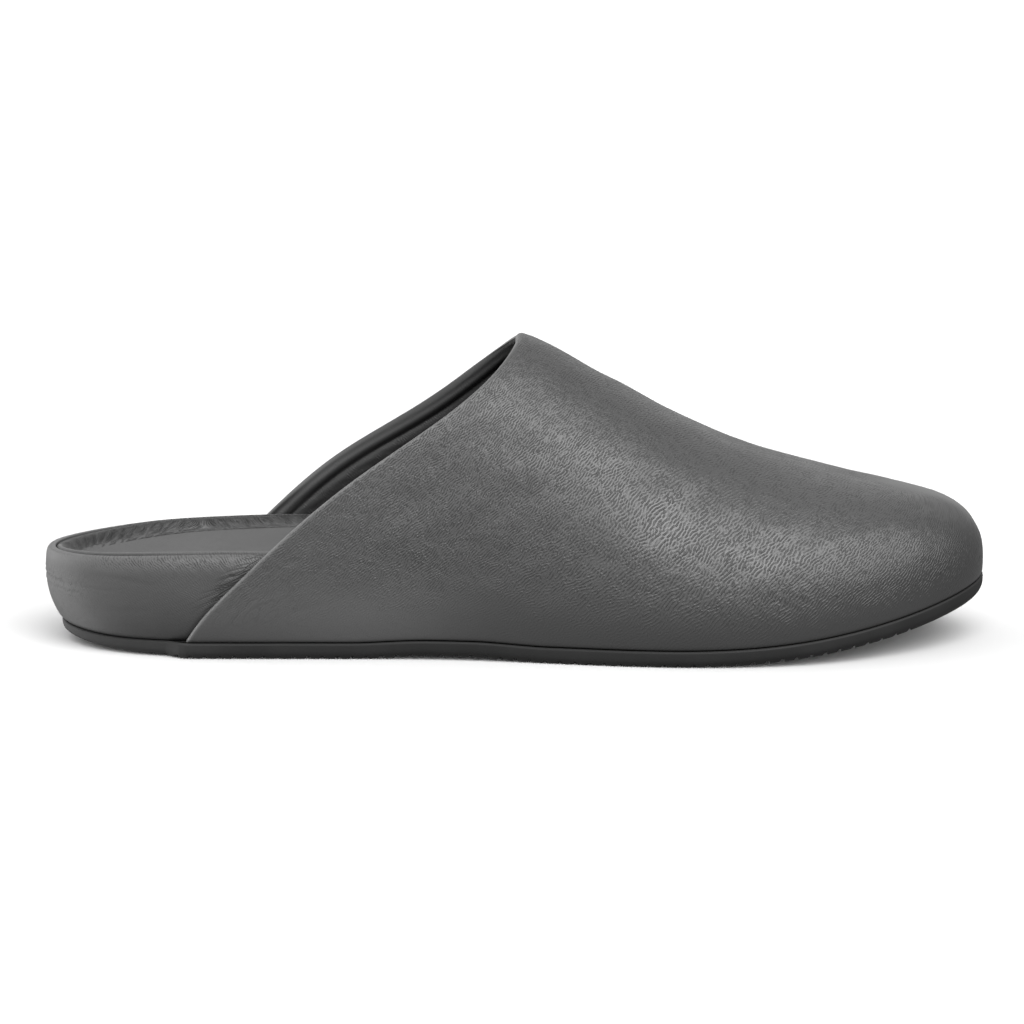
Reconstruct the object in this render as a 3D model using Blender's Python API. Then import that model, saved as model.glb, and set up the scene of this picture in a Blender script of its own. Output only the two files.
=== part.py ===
"""A backless leather house shoe (mule) for the right foot, as the pieces that a maker puts together.

The last's own frame is used for every size below, in millimetres: X runs from the heel to the toe,
+Y is the medial side and Z rises from the floor. MM turns a size into Blender's metres.
"""

import bmesh
import bpy
import numpy as np
from mathutils import Matrix

MM = 0.001

# Driving sizes of the last
LAST_LENGTH = 285.0
BALL_WIDTH = 104.0
INSTEP_HEIGHT = 92.0
HEEL_HEIGHT = 31.0
TOE_SPRING = 14.5
TOE_SPRING_START = 0.645
TOE_SPRING_CURVE = 2.2
ARCH_LIFT = 0.9
ARCH_START = 92.0
ARCH_FULL = 116.0
ARCH_FALL = 128.0
ARCH_END = 152.0
HEEL_LIFT = 2.2
HEEL_LIFT_END = 0.09

# Wall thicknesses and clearances
SOLE_THICKNESS = 5.0
UPPER_WALL = 2.2
FACING_WALL = 3.0
FACING_WIDTH = 3.8
FACING_FROM = 33.0
FACING_FULL = 43.0
WRAP_WALL = 1.4
INSOLE_WALL = 1.5
INSOLE_BEVEL = 0.45
INSOLE_BRIM = 0.6
RECESS_PLAY = 0.1
GAP = 0.3
SEAT_INSET = UPPER_WALL + 0.5

# Round ends of the outline, as superellipses
TOE_CAP_START = 0.72
TOE_ROUND = 2.45
HEEL_CAP_END = 0.165
HEEL_ROUND = 2.0

# Where the ribs of the form meet, over the heel and behind the toe tip
HEEL_POLE = 38.0
TOE_POLE = LAST_LENGTH - 27.0
POLE_SOFTNESS = 5.0
BULGE_HEIGHT = 17.0

# The last's sections: station is a share of its length, width a share of the ball width, roof a share
# of the instep height, swing and ridge are medial offsets, bulge is how far the side swells outwards
SECTION_COLUMNS = ("station", "width", "swing", "roof", "ridge", "fullness", "bulge")
SECTIONS = (
    (0.00, 0.346, 0.0, 1.140, 0.0, 2.40, 4.4),
    (0.15, 0.356, 0.0, 1.140, 1.0, 2.40, 3.9),
    (0.28, 0.348, -1.0, 1.110, 2.0, 2.35, 2.4),
    (0.40, 0.343, -2.5, 1.052, 3.0, 2.30, 1.6),
    (0.50, 0.401, -0.4, 1.013, 3.9, 2.21, 1.5),
    (0.525, 0.420, 0.1, 0.986, 4.2, 2.19, 1.5),
    (0.56, 0.444, 0.5, 0.926, 4.8, 2.19, 1.5),
    (0.62, 0.478, 0.8, 0.822, 6.0, 2.20, 1.5),
    (0.72, 0.502, 1.5, 0.664, 7.5, 2.30, 1.5),
    (0.82, 0.492, 3.2, 0.564, 8.0, 2.60, 1.5),
    (0.92, 0.454, 6.0, 0.490, 8.0, 3.00, 1.0),
    (1.00, 0.414, 8.0, 0.441, 8.0, 3.50, 0.3),
)

# The collar's edge: height above the floor and distance from the heel on each side
COLLAR_COLUMNS = ("height", "lateral", "medial")
COLLAR = (
    (4.0, 41.0, 40.5),
    (12.0, 48.2, 46.5),
    (24.5, 60.0, 57.0),
    (39.0, 75.5, 71.5),
    (53.5, 93.5, 89.0),
    (68.5, 115.5, 112.4),
    (81.5, 132.5, 129.8),
    (89.0, 139.5, 138.4),
    (92.5, 142.3, 142.3),
)

# The footbed along the last: rim and bed, the heights of its rim and of the insole's edge above the
# outsole, are shares of the rim's rise at the heel; arch is the extra height on the medial side, dish
# how deep the insole is dished, slope how far the rim's inner slope runs down to the insole and fall how
# much lower the rim is on the medial side of the heel
RIM_RISE = HEEL_HEIGHT - SOLE_THICKNESS
BED_COLUMNS = ("station", "rim", "bed", "arch", "dish", "slope", "fall")
BED = (
    (0.00, 0.840, 0.740, 0.0, 4.2, 6.6, 0.0),
    (0.06, 0.945, 0.812, 0.1, 4.2, 5.8, 0.2),
    (0.15, 1.010, 0.869, 0.4, 4.2, 4.6, 0.5),
    (0.28, 0.990, 0.862, 2.2, 3.8, 4.2, 0.1),
    (0.38, 0.865, 0.754, 3.2, 2.6, 3.6, 0.0),
    (0.50, 0.635, 0.569, 2.4, 1.4, 2.8, 0.0),
    (0.64, 0.462, 0.423, 0.6, 0.8, 2.2, 0.0),
    (0.80, 0.415, 0.385, 0.0, 0.6, 2.1, 0.0),
    (1.00, 0.377, 0.346, 0.0, 0.4, 2.1, 0.0),
)

# Where the leather wrap of the heel ends under the upper, and the stretches over which it is skived and
# the footbed comes out to the upper beyond it
WRAP_SKIVE_START = 60.0
WRAP_SKIVED_WALL = 0.7
WRAP_STEP = 22.0

# The outsole widens to carry the upper's wall over this stretch
SOLE_STEP_START = 36.0
SOLE_STEP_END = 44.0

# Tread grooves across the outsole
GROOVE_PITCH = 4.4
GROOVE_WIDTH = 1.4
GROOVE_DEPTH = 1.0
GROOVE_REACH = 0.8 * BALL_WIDTH
GROOVE_FIRST = 14.0
GROOVE_LAST = 262.0

# The side of the footbed and its wrap: share of the rim's height and how far it is rolled inwards there
RIM_ROLL = ((0.0, 0.2), (0.08, 0.0), (0.35, 0.0), (0.70, 0.0), (0.87, 0.12), (0.945, 0.55), (0.98, 1.3))
WRAP_CREST = 0.992
RIM_SEAM = 0.958

# The rim's inner slope: share of the drop to the insole and share of the run
RIM_SLOPE_ROWS = ((0.0, 0.16), (0.07, 0.36), (0.35, 0.6), (0.75, 0.82), (1.0, 1.0))
RIM_ARCH = 0.8
HALF_SEAT = 24.0

# The outsole's edge: share of its thickness down from the top and share of the edge's rounding
SOLE_PROUD = 0.2
SOLE_EDGE = ((0.0, 0.12), (0.1, 0.0), (0.5, 0.05), (0.82, 0.35), (1.0, 1.0))
SOLE_ROUND = 2.0
SOLE_HEEL_ROUND = 7.5
SOLE_HEEL_REACH = 45.0

# Mesh resolution
STATIONS = 40
WRAP_STATIONS = 15
RIB_STEPS = 16
RIB_CROWDING = 1.35
UPPER_ROWS = 30
FACING_ROWS = (0.0, 0.08, 0.28, 0.75, 1.0, 1.15)
COLLAR_SPAN = (0.12, 0.70)
BISECTIONS = 40
BED_STEPS = 4
SHARP_ANGLE = 40.0


def spline(xs, ys):
    """A natural cubic spline through a table's rows, level beyond its ends."""
    xs = np.asarray(xs, float)
    ys = np.asarray(ys, float)
    span = np.diff(xs)
    rise = np.diff(ys) / span
    system = np.eye(len(xs))
    right = np.zeros(len(xs))
    for k in range(1, len(xs) - 1):
        system[k, k - 1 : k + 2] = span[k - 1], 2 * (span[k - 1] + span[k]), span[k]
        right[k] = 6 * (rise[k] - rise[k - 1])
    bend = np.linalg.solve(system, right)

    def at(x):
        x = np.clip(x, xs[0], xs[-1])
        k = np.clip(np.searchsorted(xs, x) - 1, 0, len(span) - 1)
        b = (x - xs[k]) / span[k]
        a = 1 - b
        curve = ((a**3 - a) * bend[k] + (b**3 - b) * bend[k + 1]) * span[k] ** 2 / 6
        return a * ys[k] + b * ys[k + 1] + curve

    return at


def columns_of(names, rows, scales):
    """One spline for each column of a table against its first column, with both scaled to millimetres."""
    table = np.array(rows, float)
    xs = table[:, 0] * scales.get(names[0], 1.0)
    return {
        name: spline(xs, table[:, k] * scales.get(name, 1.0))
        for k, name in enumerate(names)
        if k
    }


def station_x(p):
    """Distance from the heel of station p, from 0 at the heel to 1 at the toe, close-set at both ends."""
    return LAST_LENGTH * (1 - np.cos(np.pi * p)) / 2


WRAP_END = station_x(WRAP_STATIONS / STATIONS)
SECTION = columns_of(
    SECTION_COLUMNS,
    SECTIONS,
    {"station": LAST_LENGTH, "width": BALL_WIDTH, "roof": INSTEP_HEIGHT},
)
COLLAR_AT = columns_of(COLLAR_COLUMNS, COLLAR, {})
BED_AT = columns_of(BED_COLUMNS, BED, {"station": LAST_LENGTH, "rim": RIM_RISE, "bed": RIM_RISE})


def smoothstep(x, start, end):
    share = np.clip((x - start) / (end - start), 0, 1)
    return share * share * (3 - 2 * share)


def soft_clamp(x, low, high, softness):
    """x held between low and high, with rounded corners."""
    above = softness * np.logaddexp(0, (x - low) / softness)
    beyond = softness * np.logaddexp(0, (x - high) / softness)
    return low + above - beyond


def lift(x):
    """How far the outsole's underside is off the floor: toe spring, arch and heel."""
    start = TOE_SPRING_START * LAST_LENGTH
    spring = np.clip((x - start) / (LAST_LENGTH - start), 0, None)
    waist = smoothstep(x, ARCH_START, ARCH_FULL) * (1 - smoothstep(x, ARCH_FALL, ARCH_END))
    heel = np.clip(1 - x / (HEEL_LIFT_END * LAST_LENGTH), 0, None)
    return TOE_SPRING * spring**TOE_SPRING_CURVE + ARCH_LIFT * waist + HEEL_LIFT * heel**2


def feather(x):
    """Height of the feather line, where the leather meets the outsole."""
    return SOLE_THICKNESS + lift(x)


def half_width(x):
    """Half the form's width at the feather line, rounded off at the heel and the toe."""
    toe = np.clip((x / LAST_LENGTH - TOE_CAP_START) / (1 - TOE_CAP_START), 0, 1)
    heel = np.clip(1 - x / LAST_LENGTH / HEEL_CAP_END, 0, 1)
    round_toe = np.clip(1 - toe**TOE_ROUND, 0, 1) ** (1 / TOE_ROUND)
    round_heel = np.clip(1 - heel**HEEL_ROUND, 0, 1) ** (1 / HEEL_ROUND)
    return SECTION["width"](x) * round_toe * round_heel


def form(side, p, t):
    """A point on the outer form of the upper. side is -1 lateral or +1 medial, p the station along the
    feather line, and t runs up the rib from 0 at the feather line to 1 at the ridge."""
    side, p, t = np.broadcast_arrays(*(np.asarray(k, float) for k in (side, p, t)))
    x = station_x(p)
    base = np.stack([x, SECTION["swing"](x) + side * half_width(x)], -1)
    top_x = soft_clamp(x, HEEL_POLE, TOE_POLE, POLE_SOFTNESS)
    inward = np.stack([top_x, SECTION["ridge"](top_x)], -1) - base
    power = SECTION["fullness"](x)
    turn = t ** (power / 2) / (t ** (power / 2) + (1 - t) ** (power / 2)) * np.pi / 2
    across = 1 - np.cos(turn) ** (2 / power)
    plan = base + inward * across[..., None]
    low = feather(x)
    rise = (SECTION["roof"](plan[..., 0]) - low) * np.sin(turn) ** (2 / power)
    swell = rise / BULGE_HEIGHT * np.exp(1 - rise / BULGE_HEIGHT)
    out = SECTION["bulge"](x) * swell * (1 - across)
    reach = np.linalg.norm(inward, axis=-1)
    plan = plan - inward * (out / reach)[..., None]
    return np.concatenate([plan, (low + rise)[..., None]], -1)


def rib_share(p, rise):
    """The t at which a rib has risen this far above the feather line."""
    x = station_x(p)
    power = SECTION["fullness"](x)
    share = np.clip(rise / (SECTION["roof"](x) - feather(x)), 0, 0.98)
    turn = np.arcsin(share ** (power / 2)) / (np.pi / 2)
    ratio = (turn / (1 - turn)) ** (2 / power)
    return ratio / (1 + ratio)


def outline_stations():
    """side and p of each point round the whole outline: lateral from heel to toe, then medial back."""
    p = np.linspace(0, 1, STATIONS + 1)
    side = np.concatenate([-np.ones(STATIONS + 1), np.ones(STATIONS - 1)])
    return side, np.concatenate([p, p[-2:0:-1]])


def ring(side, p, height, inset):
    """A level line on the form at this height above the feather line, moved in by inset."""
    t = rib_share(p, height)
    step = 1e-4
    inner = np.clip(p, step, 1 - step)
    along = form(side, inner + step, t) - form(side, inner - step, t)
    up = form(side, inner, t + step) - form(side, inner, np.maximum(t - step, 0))
    normal = np.cross(along, up) * -np.asarray(side)[:, None]
    normal /= np.linalg.norm(normal, axis=-1, keepdims=True)
    level = np.linalg.norm(normal[:, :2], axis=-1, keepdims=True)
    points = form(side, p, t)
    points[:, :2] += -normal[:, :2] / level * (inset / level[:, 0])[:, None]
    points[:, 2] = feather(points[:, 0]) + height
    return points


def add_rows(mesh, rows):
    """Vertices of the mesh for each row of points."""
    return [[mesh.verts.new(point * MM) for point in row] for row in rows]


def skin(mesh, rows, closed):
    """Faces between neighbouring rows of vertices; closed joins each row's last vertex to its first."""
    for low, high in zip(rows, rows[1:]):
        count = len(low)
        for k in range(count if closed else count - 1):
            corners = (low[k], low[(k + 1) % count], high[(k + 1) % count], high[k])
            mesh.faces.new(dict.fromkeys(corners))


def ladder(mesh, loop, depth=None, steps=1):
    """Closes a loop of the outline by rungs from its lateral to its medial side, sunk by depth."""
    rungs = []
    for k in range(1, STATIONS):
        left, right = loop[k], loop[-k]
        length = (right.co - left.co).length / MM
        rung = [left]
        for share in np.arange(1, steps) / steps:
            spot = left.co.lerp(right.co, share)
            spot.z -= depth(spot.x / MM, length**2 * share * (1 - share)) * MM
            rung.append(mesh.verts.new(spot))
        rungs.append(rung + [right])
    skin(mesh, rungs, closed=False)
    for end, rung in ((loop[0], rungs[0]), (loop[STATIONS], rungs[-1])):
        for a, b in zip(rung, rung[1:]):
            mesh.faces.new((end, a, b))


def surface(name, grey, roughness):
    """A plain grey surface."""
    material = bpy.data.materials.new(name)
    material.use_nodes = True
    shader = material.node_tree.nodes["Principled BSDF"]
    shader.inputs["Base Color"].default_value = (grey, grey, grey, 1.0)
    shader.inputs["Roughness"].default_value = roughness
    shader.inputs["Metallic"].default_value = 0.0
    return material


def finish(name, mesh, parent, material):
    """The mesh as a named object on the shoe's empty, with smooth faces turned outwards."""
    bmesh.ops.recalc_face_normals(mesh, faces=mesh.faces)
    data = bpy.data.meshes.new(name)
    mesh.to_mesh(data)
    mesh.free()
    data.shade_smooth()
    data.set_sharp_from_angle(angle=np.radians(SHARP_ANGLE))
    data.materials.append(material)
    obj = bpy.data.objects.new(name, data)
    bpy.context.scene.collection.objects.link(obj)
    obj.parent = parent
    return obj


def collar_station(side, t):
    """The station where each rib leaves the collar's edge."""
    low = np.full(t.shape, COLLAR_SPAN[0])
    high = np.full(t.shape, COLLAR_SPAN[1])
    for _ in range(BISECTIONS):
        middle = (low + high) / 2
        spot = form(side, middle, t)
        edge = np.where(
            side < 0,
            COLLAR_AT["lateral"](spot[..., 2]),
            COLLAR_AT["medial"](spot[..., 2]),
        )
        behind = spot[..., 0] < edge
        low = np.where(behind, middle, low)
        high = np.where(behind, high, middle)
    return (low + high) / 2


def grid_normals(grid):
    """Outward normals of the upper's grid, which folds back on itself along the toe's rib."""
    beyond = grid[-2][::-1]
    along = np.gradient(np.concatenate([grid, beyond[None]]), axis=0)[:-1]
    across = np.gradient(grid, axis=1)
    normal = np.cross(along, across)
    normal[-1, grid.shape[1] // 2] = normal[-2, grid.shape[1] // 2]
    return normal / np.linalg.norm(normal, axis=-1, keepdims=True)


def upper_grid():
    """The upper's outer form, rows from the collar's edge to the toe's rib and columns from the lateral
    feather line over the ridge to the medial one, with each row's distance from the edge."""
    up = np.linspace(0, 1, RIB_STEPS + 1) ** RIB_CROWDING
    t = np.concatenate([up, up[-2::-1]])
    side = np.where(np.arange(len(t)) <= RIB_STEPS, -1.0, 1.0)
    edge = collar_station(side, t)
    step = 1e-3
    run = (form(side, edge + step, t) - form(side, edge, t)) / step
    line = np.gradient(form(side, edge, t), axis=0)
    area = np.linalg.norm(np.cross(run, line), axis=-1)
    straight = area / np.linalg.norm(line, axis=-1)
    near = FACING_WIDTH * np.array(FACING_ROWS)
    stations = [edge + d / straight for d in near]
    far = np.linspace(0, 1, UPPER_ROWS + 1)[1:]
    stations += [stations[-1] + (1 - stations[-1]) * s for s in far]
    distance = np.concatenate([near, np.full(len(far), np.inf)])
    return form(side, np.array(stations), t), distance


def upper_walls(grid, distance):
    """Outer and inner faces of the upper. The collar's edge is round, and its turned-in facing is thicker
    than the wall down to a step, except where it lies on the heel's rim."""
    normal = grid_normals(grid)
    free = smoothstep(grid[..., 2], FACING_FROM, FACING_FULL)
    edge_wall = UPPER_WALL + (FACING_WALL - UPPER_WALL) * free
    on_facing = (distance <= FACING_WIDTH)[:, None]
    wall = np.where(on_facing, edge_wall, UPPER_WALL)
    radius = edge_wall / 2
    from_crown = np.clip(1 - distance[:, None] / radius, 0, 1)
    rounding = radius * (1 - np.sqrt(1 - from_crown**2))
    outer = grid - normal * rounding[..., None]
    inner = grid - normal * (wall - rounding)[..., None]
    flat = normal[:, [0, -1], :2]
    flat /= np.linalg.norm(flat, axis=-1, keepdims=True)
    inner[:, [0, -1], :2] = grid[:, [0, -1], :2] - flat * (wall - rounding)[:, [0, -1], None]
    for face in (outer, inner):
        face[:, [0, -1], 2] = feather(face[:, [0, -1], 0]) + GAP
    return outer, inner


def build_upper(parent, material):
    """The upper: one hollow wall, open at the collar and underneath."""
    outer, inner = upper_walls(*upper_grid())
    mesh = bmesh.new()
    middle = RIB_STEPS
    faces = []
    for rows in (outer, inner[1:]):
        verts = add_rows(mesh, rows[:-1])
        toe = [mesh.verts.new(point * MM) for point in rows[-1][: middle + 1]]
        faces.append(verts + [toe + toe[-2::-1]])
    outside, inside = faces
    inside.insert(0, outside[0])
    skin(mesh, outside, closed=False)
    skin(mesh, inside, closed=False)
    for column in (0, -1):
        edges = [[out[column], into[column]] for out, into in zip(outside, inside)]
        for (a, b), (c, d) in zip(edges, edges[1:]):
            mesh.faces.new(dict.fromkeys((a, b, d, c)))
    return finish("upper", mesh, parent, material)


def wrap_wall(x):
    """Thickness of the heel's leather wrap, skived towards its front edge."""
    thin = smoothstep(x, WRAP_SKIVE_START, WRAP_END)
    return WRAP_WALL + (WRAP_SKIVED_WALL - WRAP_WALL) * thin


def wrap_room(x):
    """Room that the footbed leaves for the wrap, closing up beyond the wrap's front edge."""
    return (wrap_wall(x) + GAP) * (1 - smoothstep(x, WRAP_END, WRAP_END + WRAP_STEP))


def rim_height(side, x):
    """Height above the feather line of the rim's top, which follows the arch on the medial side."""
    return BED_AT["rim"](x) + np.where(side > 0, RIM_ARCH * BED_AT["arch"](x) - BED_AT["fall"](x), 0)


def build_heel_wrap(parent, material):
    """The leather wrap round the heel's side, rolled over the rim down to its seam."""
    back = np.arange(WRAP_STATIONS, -1, -1) / STATIONS
    p = np.concatenate([back, back[-2::-1]])
    side = np.where(np.arange(len(p)) <= WRAP_STATIONS, -1.0, 1.0)
    x = station_x(p)
    wall = wrap_wall(x)
    rim = rim_height(side, x)
    outer = []
    inner = []
    for share, roll in RIM_ROLL:
        height = np.maximum(rim * share, GAP)
        outer.append(ring(side, p, height, SEAT_INSET + roll + 0 * x))
        inner.append(ring(side, p, height, SEAT_INSET + roll + wall))
    top = SEAT_INSET + RIM_ROLL[-1][1]
    crest = ring(side, p, rim * WRAP_CREST, top + 0.5 * wall)
    seam = ring(side, p, rim * RIM_SEAM, top + wall)
    section = outer + [crest, seam] + inner[-2::-1]
    mesh = bmesh.new()
    rows = add_rows(mesh, np.array(section).transpose(1, 0, 2))
    skin(mesh, rows, closed=True)
    for row in (rows[0], rows[-1]):
        mesh.faces.new(row)
    return finish("heel_wrap", mesh, parent, material)


def bed_edge(side, x):
    """Height above the feather line of the insole's edge, with the arch on the medial side."""
    return BED_AT["bed"](x) + np.where(side > 0, BED_AT["arch"](x), 0)


def insole_inset(x):
    """Distance of the insole's edge inside the form."""
    return SEAT_INSET + RIM_ROLL[-1][1] + wrap_room(x) + BED_AT["slope"](x)


def dished(x, room):
    """Depth of the insole's dish; room is the product of the distances to its two edges."""
    return BED_AT["dish"](x) * room / HALF_SEAT**2


def build_footbed(parent, material):
    """The footbed: a core with a raised rim round the heel and a recess for the insole."""
    side, p = outline_stations()
    x = station_x(p)
    rim = rim_height(side, x)
    bed = bed_edge(side, x)
    clear = SEAT_INSET + wrap_room(x)
    rings = []
    for share, roll in RIM_ROLL[:-1]:
        rings.append(ring(side, p, np.maximum(rim * share, GAP), clear + roll))
    top = clear + RIM_ROLL[-1][1]
    rings.append(ring(side, p, rim * RIM_SEAM, top))
    slope = BED_AT["slope"](x)
    for drop, run in RIM_SLOPE_ROWS:
        rings.append(ring(side, p, rim + (bed - rim) * drop, top + slope * run))
    rings.append(ring(side, p, bed - INSOLE_WALL - GAP, top + slope + RECESS_PLAY))
    mesh = bmesh.new()
    loops = add_rows(mesh, rings)
    skin(mesh, loops, closed=True)
    ladder(mesh, loops[0])
    ladder(mesh, loops[-1], dished, BED_STEPS)
    return finish("footbed", mesh, parent, material)


def build_insole(parent, material):
    """The insole: a thin panel in the footbed's recess, level with the foot of the rim."""
    side, p = outline_stations()
    x = station_x(p)
    bed = bed_edge(side, x)
    inset = insole_inset(x) + RECESS_PLAY + GAP
    low = ring(side, p, bed - INSOLE_WALL, inset)
    high = ring(side, p, bed - INSOLE_BEVEL, inset)
    brim = ring(side, p, bed, inset + INSOLE_BRIM)
    mesh = bmesh.new()
    loops = add_rows(mesh, [low, high, brim])
    skin(mesh, loops, closed=True)
    ladder(mesh, loops[0], dished, BED_STEPS)
    ladder(mesh, loops[-1], dished, BED_STEPS)
    return finish("insole", mesh, parent, material)


def sole_inset(x):
    """The outsole's edge inside the form: under the wrap at the heel, under the upper in front."""
    under_wrap = 1 - smoothstep(x, SOLE_STEP_START, SOLE_STEP_END)
    return (SEAT_INSET + RIM_ROLL[0][1]) * under_wrap - SOLE_PROUD


def groove_cutter(parent):
    """Bars across the outsole, square to its underside, that cut the tread's grooves."""
    mesh = bmesh.new()
    count = int((GROOVE_LAST - GROOVE_FIRST) / GROOVE_PITCH) + 1
    for x in GROOVE_FIRST + GROOVE_PITCH * np.arange(count):
        slope = np.arctan(lift(x + 0.5) - lift(x - 0.5))
        bar = bmesh.ops.create_cube(mesh, size=1.0)["verts"]
        size = np.array((GROOVE_WIDTH, 2 * GROOVE_REACH, 2 * GROOVE_DEPTH)) * MM
        bmesh.ops.scale(mesh, vec=size, verts=bar)
        turn = Matrix.Rotation(-slope, 3, "Y")
        bmesh.ops.rotate(mesh, matrix=turn, verts=bar)
        bmesh.ops.translate(mesh, vec=np.array((x, 0, lift(x))) * MM, verts=bar)
    data = bpy.data.meshes.new("tread_grooves")
    mesh.to_mesh(data)
    mesh.free()
    cutter = bpy.data.objects.new("tread_grooves", data)
    bpy.context.scene.collection.objects.link(cutter)
    cutter.parent = parent
    cutter.hide_render = True
    cutter.display_type = "WIRE"
    return cutter


def build_outsole(parent, material):
    """The outsole: a plate of even thickness with toe spring, a rounded lower edge and grooves across."""
    side, p = outline_stations()
    x = station_x(p)
    edge = SOLE_ROUND + (SOLE_HEEL_ROUND - SOLE_ROUND) * (1 - smoothstep(x, 0, SOLE_HEEL_REACH))
    inset = sole_inset(x)
    rings = [
        ring(side, p, -SOLE_THICKNESS * down + 0 * x, inset + edge * back + 0 * x)
        for down, back in SOLE_EDGE
    ]
    mesh = bmesh.new()
    loops = add_rows(mesh, rings)
    skin(mesh, loops, closed=True)
    ladder(mesh, loops[0])
    ladder(mesh, loops[-1])
    outsole = finish("outsole", mesh, parent, material)
    cut = outsole.modifiers.new("tread", "BOOLEAN")
    cut.object = groove_cutter(parent)
    cut.operation = "DIFFERENCE"
    cut.solver = "EXACT"
    return outsole


def stand_at_origin(shoe, pieces):
    """Moves the shoe so that the middle of its box, on the floor, is at the origin."""
    points = np.array([corner for piece in pieces for corner in piece.bound_box])
    middle = (points.min(axis=0) + points.max(axis=0)) / 2
    shoe.location = (-middle[0], -middle[1], 0)


def main():
    for obj in list(bpy.data.objects):
        bpy.data.objects.remove(obj)
    shoe = bpy.data.objects.new("shoe", None)
    bpy.context.scene.collection.objects.link(shoe)
    pieces = [
        build_outsole(shoe, surface("black_rubber", 0.040, 0.7)),
        build_footbed(shoe, surface("rim_leather", 0.090, 0.5)),
        build_heel_wrap(shoe, surface("wrap_leather", 0.095, 0.5)),
        build_insole(shoe, surface("sock_leather", 0.150, 0.6)),
        build_upper(shoe, surface("vamp_leather", 0.100, 0.45)),
    ]
    stand_at_origin(shoe, pieces)


main()
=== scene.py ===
"""The mule slipper's looks: creased leather, a rubber outsole, floor, light and camera.

Sizes are in millimetres in the last's own frame, as in the part's source: X runs from the heel to the toe,
+Y is the medial side and Z rises from the floor. to_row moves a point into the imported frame, in metres.
"""

import bpy
import numpy as np
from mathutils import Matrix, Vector
from numpy.linalg import norm


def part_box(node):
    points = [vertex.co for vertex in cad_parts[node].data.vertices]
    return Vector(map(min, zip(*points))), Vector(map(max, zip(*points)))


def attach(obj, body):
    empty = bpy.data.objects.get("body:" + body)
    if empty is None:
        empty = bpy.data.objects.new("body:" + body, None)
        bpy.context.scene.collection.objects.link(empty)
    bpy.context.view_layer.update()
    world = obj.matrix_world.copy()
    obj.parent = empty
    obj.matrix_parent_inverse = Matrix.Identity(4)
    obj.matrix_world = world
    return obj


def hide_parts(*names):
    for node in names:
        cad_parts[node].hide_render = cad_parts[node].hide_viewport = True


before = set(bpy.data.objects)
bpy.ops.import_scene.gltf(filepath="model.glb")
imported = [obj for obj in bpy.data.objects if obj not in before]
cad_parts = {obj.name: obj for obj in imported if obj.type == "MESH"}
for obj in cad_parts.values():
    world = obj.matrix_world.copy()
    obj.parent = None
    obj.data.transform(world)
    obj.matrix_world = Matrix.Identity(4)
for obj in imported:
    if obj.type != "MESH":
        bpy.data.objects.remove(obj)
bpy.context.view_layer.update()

MM = 0.001

# Driving sizes of the last, as in the part's source
LAST_LENGTH = 285.0
BALL_WIDTH = 104.0
INSTEP_HEIGHT = 92.0
HEEL_HEIGHT = 31.0
TOE_SPRING = 14.5
TOE_SPRING_START = 0.645
TOE_SPRING_CURVE = 2.2
ARCH_LIFT = 0.9
ARCH_START = 92.0
ARCH_FULL = 116.0
ARCH_FALL = 128.0
ARCH_END = 152.0
HEEL_LIFT = 2.2
HEEL_LIFT_END = 0.09

# Wall thicknesses and clearances; the facing is wider than in the part's source, as it shows in the photo
SOLE_THICKNESS = 5.0
UPPER_WALL = 2.2
FACING_WALL = 3.0
FACING_WIDTH = 5.2
FACING_FROM = 33.0
FACING_FULL = 43.0
WRAP_WALL = 1.4
INSOLE_WALL = 1.5
GAP = 0.3
SEAT_INSET = UPPER_WALL + 0.5

# Round ends of the outline, as superellipses
TOE_CAP_START = 0.72
TOE_ROUND = 2.45
HEEL_CAP_END = 0.165
HEEL_ROUND = 2.0

# Where the ribs of the form meet, over the heel and behind the toe tip
HEEL_POLE = 38.0
TOE_POLE = LAST_LENGTH - 27.0
POLE_SOFTNESS = 5.0
BULGE_HEIGHT = 17.0

# The last's sections: station, width and roof are shares of its length, ball width and instep height, swing
# and ridge are medial offsets, and bulge is how far the side swells
SECTIONS = (
    (0, 0.346, 0, 1.14, 0, 2.4, 4.4),
    (0.15, 0.356, 0, 1.14, 1, 2.4, 3.9),
    (0.28, 0.348, -1, 1.11, 2, 2.35, 2.4),
    (0.4, 0.343, -2.5, 1.052, 3, 2.3, 1.6),
    (0.5, 0.401, -0.4, 1.013, 3.9, 2.21, 1.5),
    (0.525, 0.42, 0.1, 0.986, 4.2, 2.19, 1.5),
    (0.56, 0.444, 0.5, 0.926, 4.8, 2.19, 1.5),
    (0.62, 0.478, 0.8, 0.822, 6, 2.2, 1.5),
    (0.72, 0.502, 1.5, 0.664, 7.5, 2.3, 1.5),
    (0.82, 0.492, 3.2, 0.564, 8, 2.6, 1.5),
    (0.92, 0.454, 6, 0.49, 8, 3, 1),
    (1, 0.414, 8, 0.441, 8, 3.5, 0.3),
)

# The collar's edge: height above the floor and distance from the heel on each side, with the corner at the
# outsole a little rounder than in the part's source
COLLAR = (
    (4, 43, 42.5), (12, 48.2, 46.5), (24.5, 60, 57), (39, 75.5, 71.5), (53.5, 93.5, 89),
    (68.5, 115.5, 112.4), (81.5, 132.5, 129.8), (89, 139.5, 138.4), (92.5, 142.3, 142.3),
)
COLLAR_SPAN = (0.12, 0.70)
BISECTIONS = 40

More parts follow.
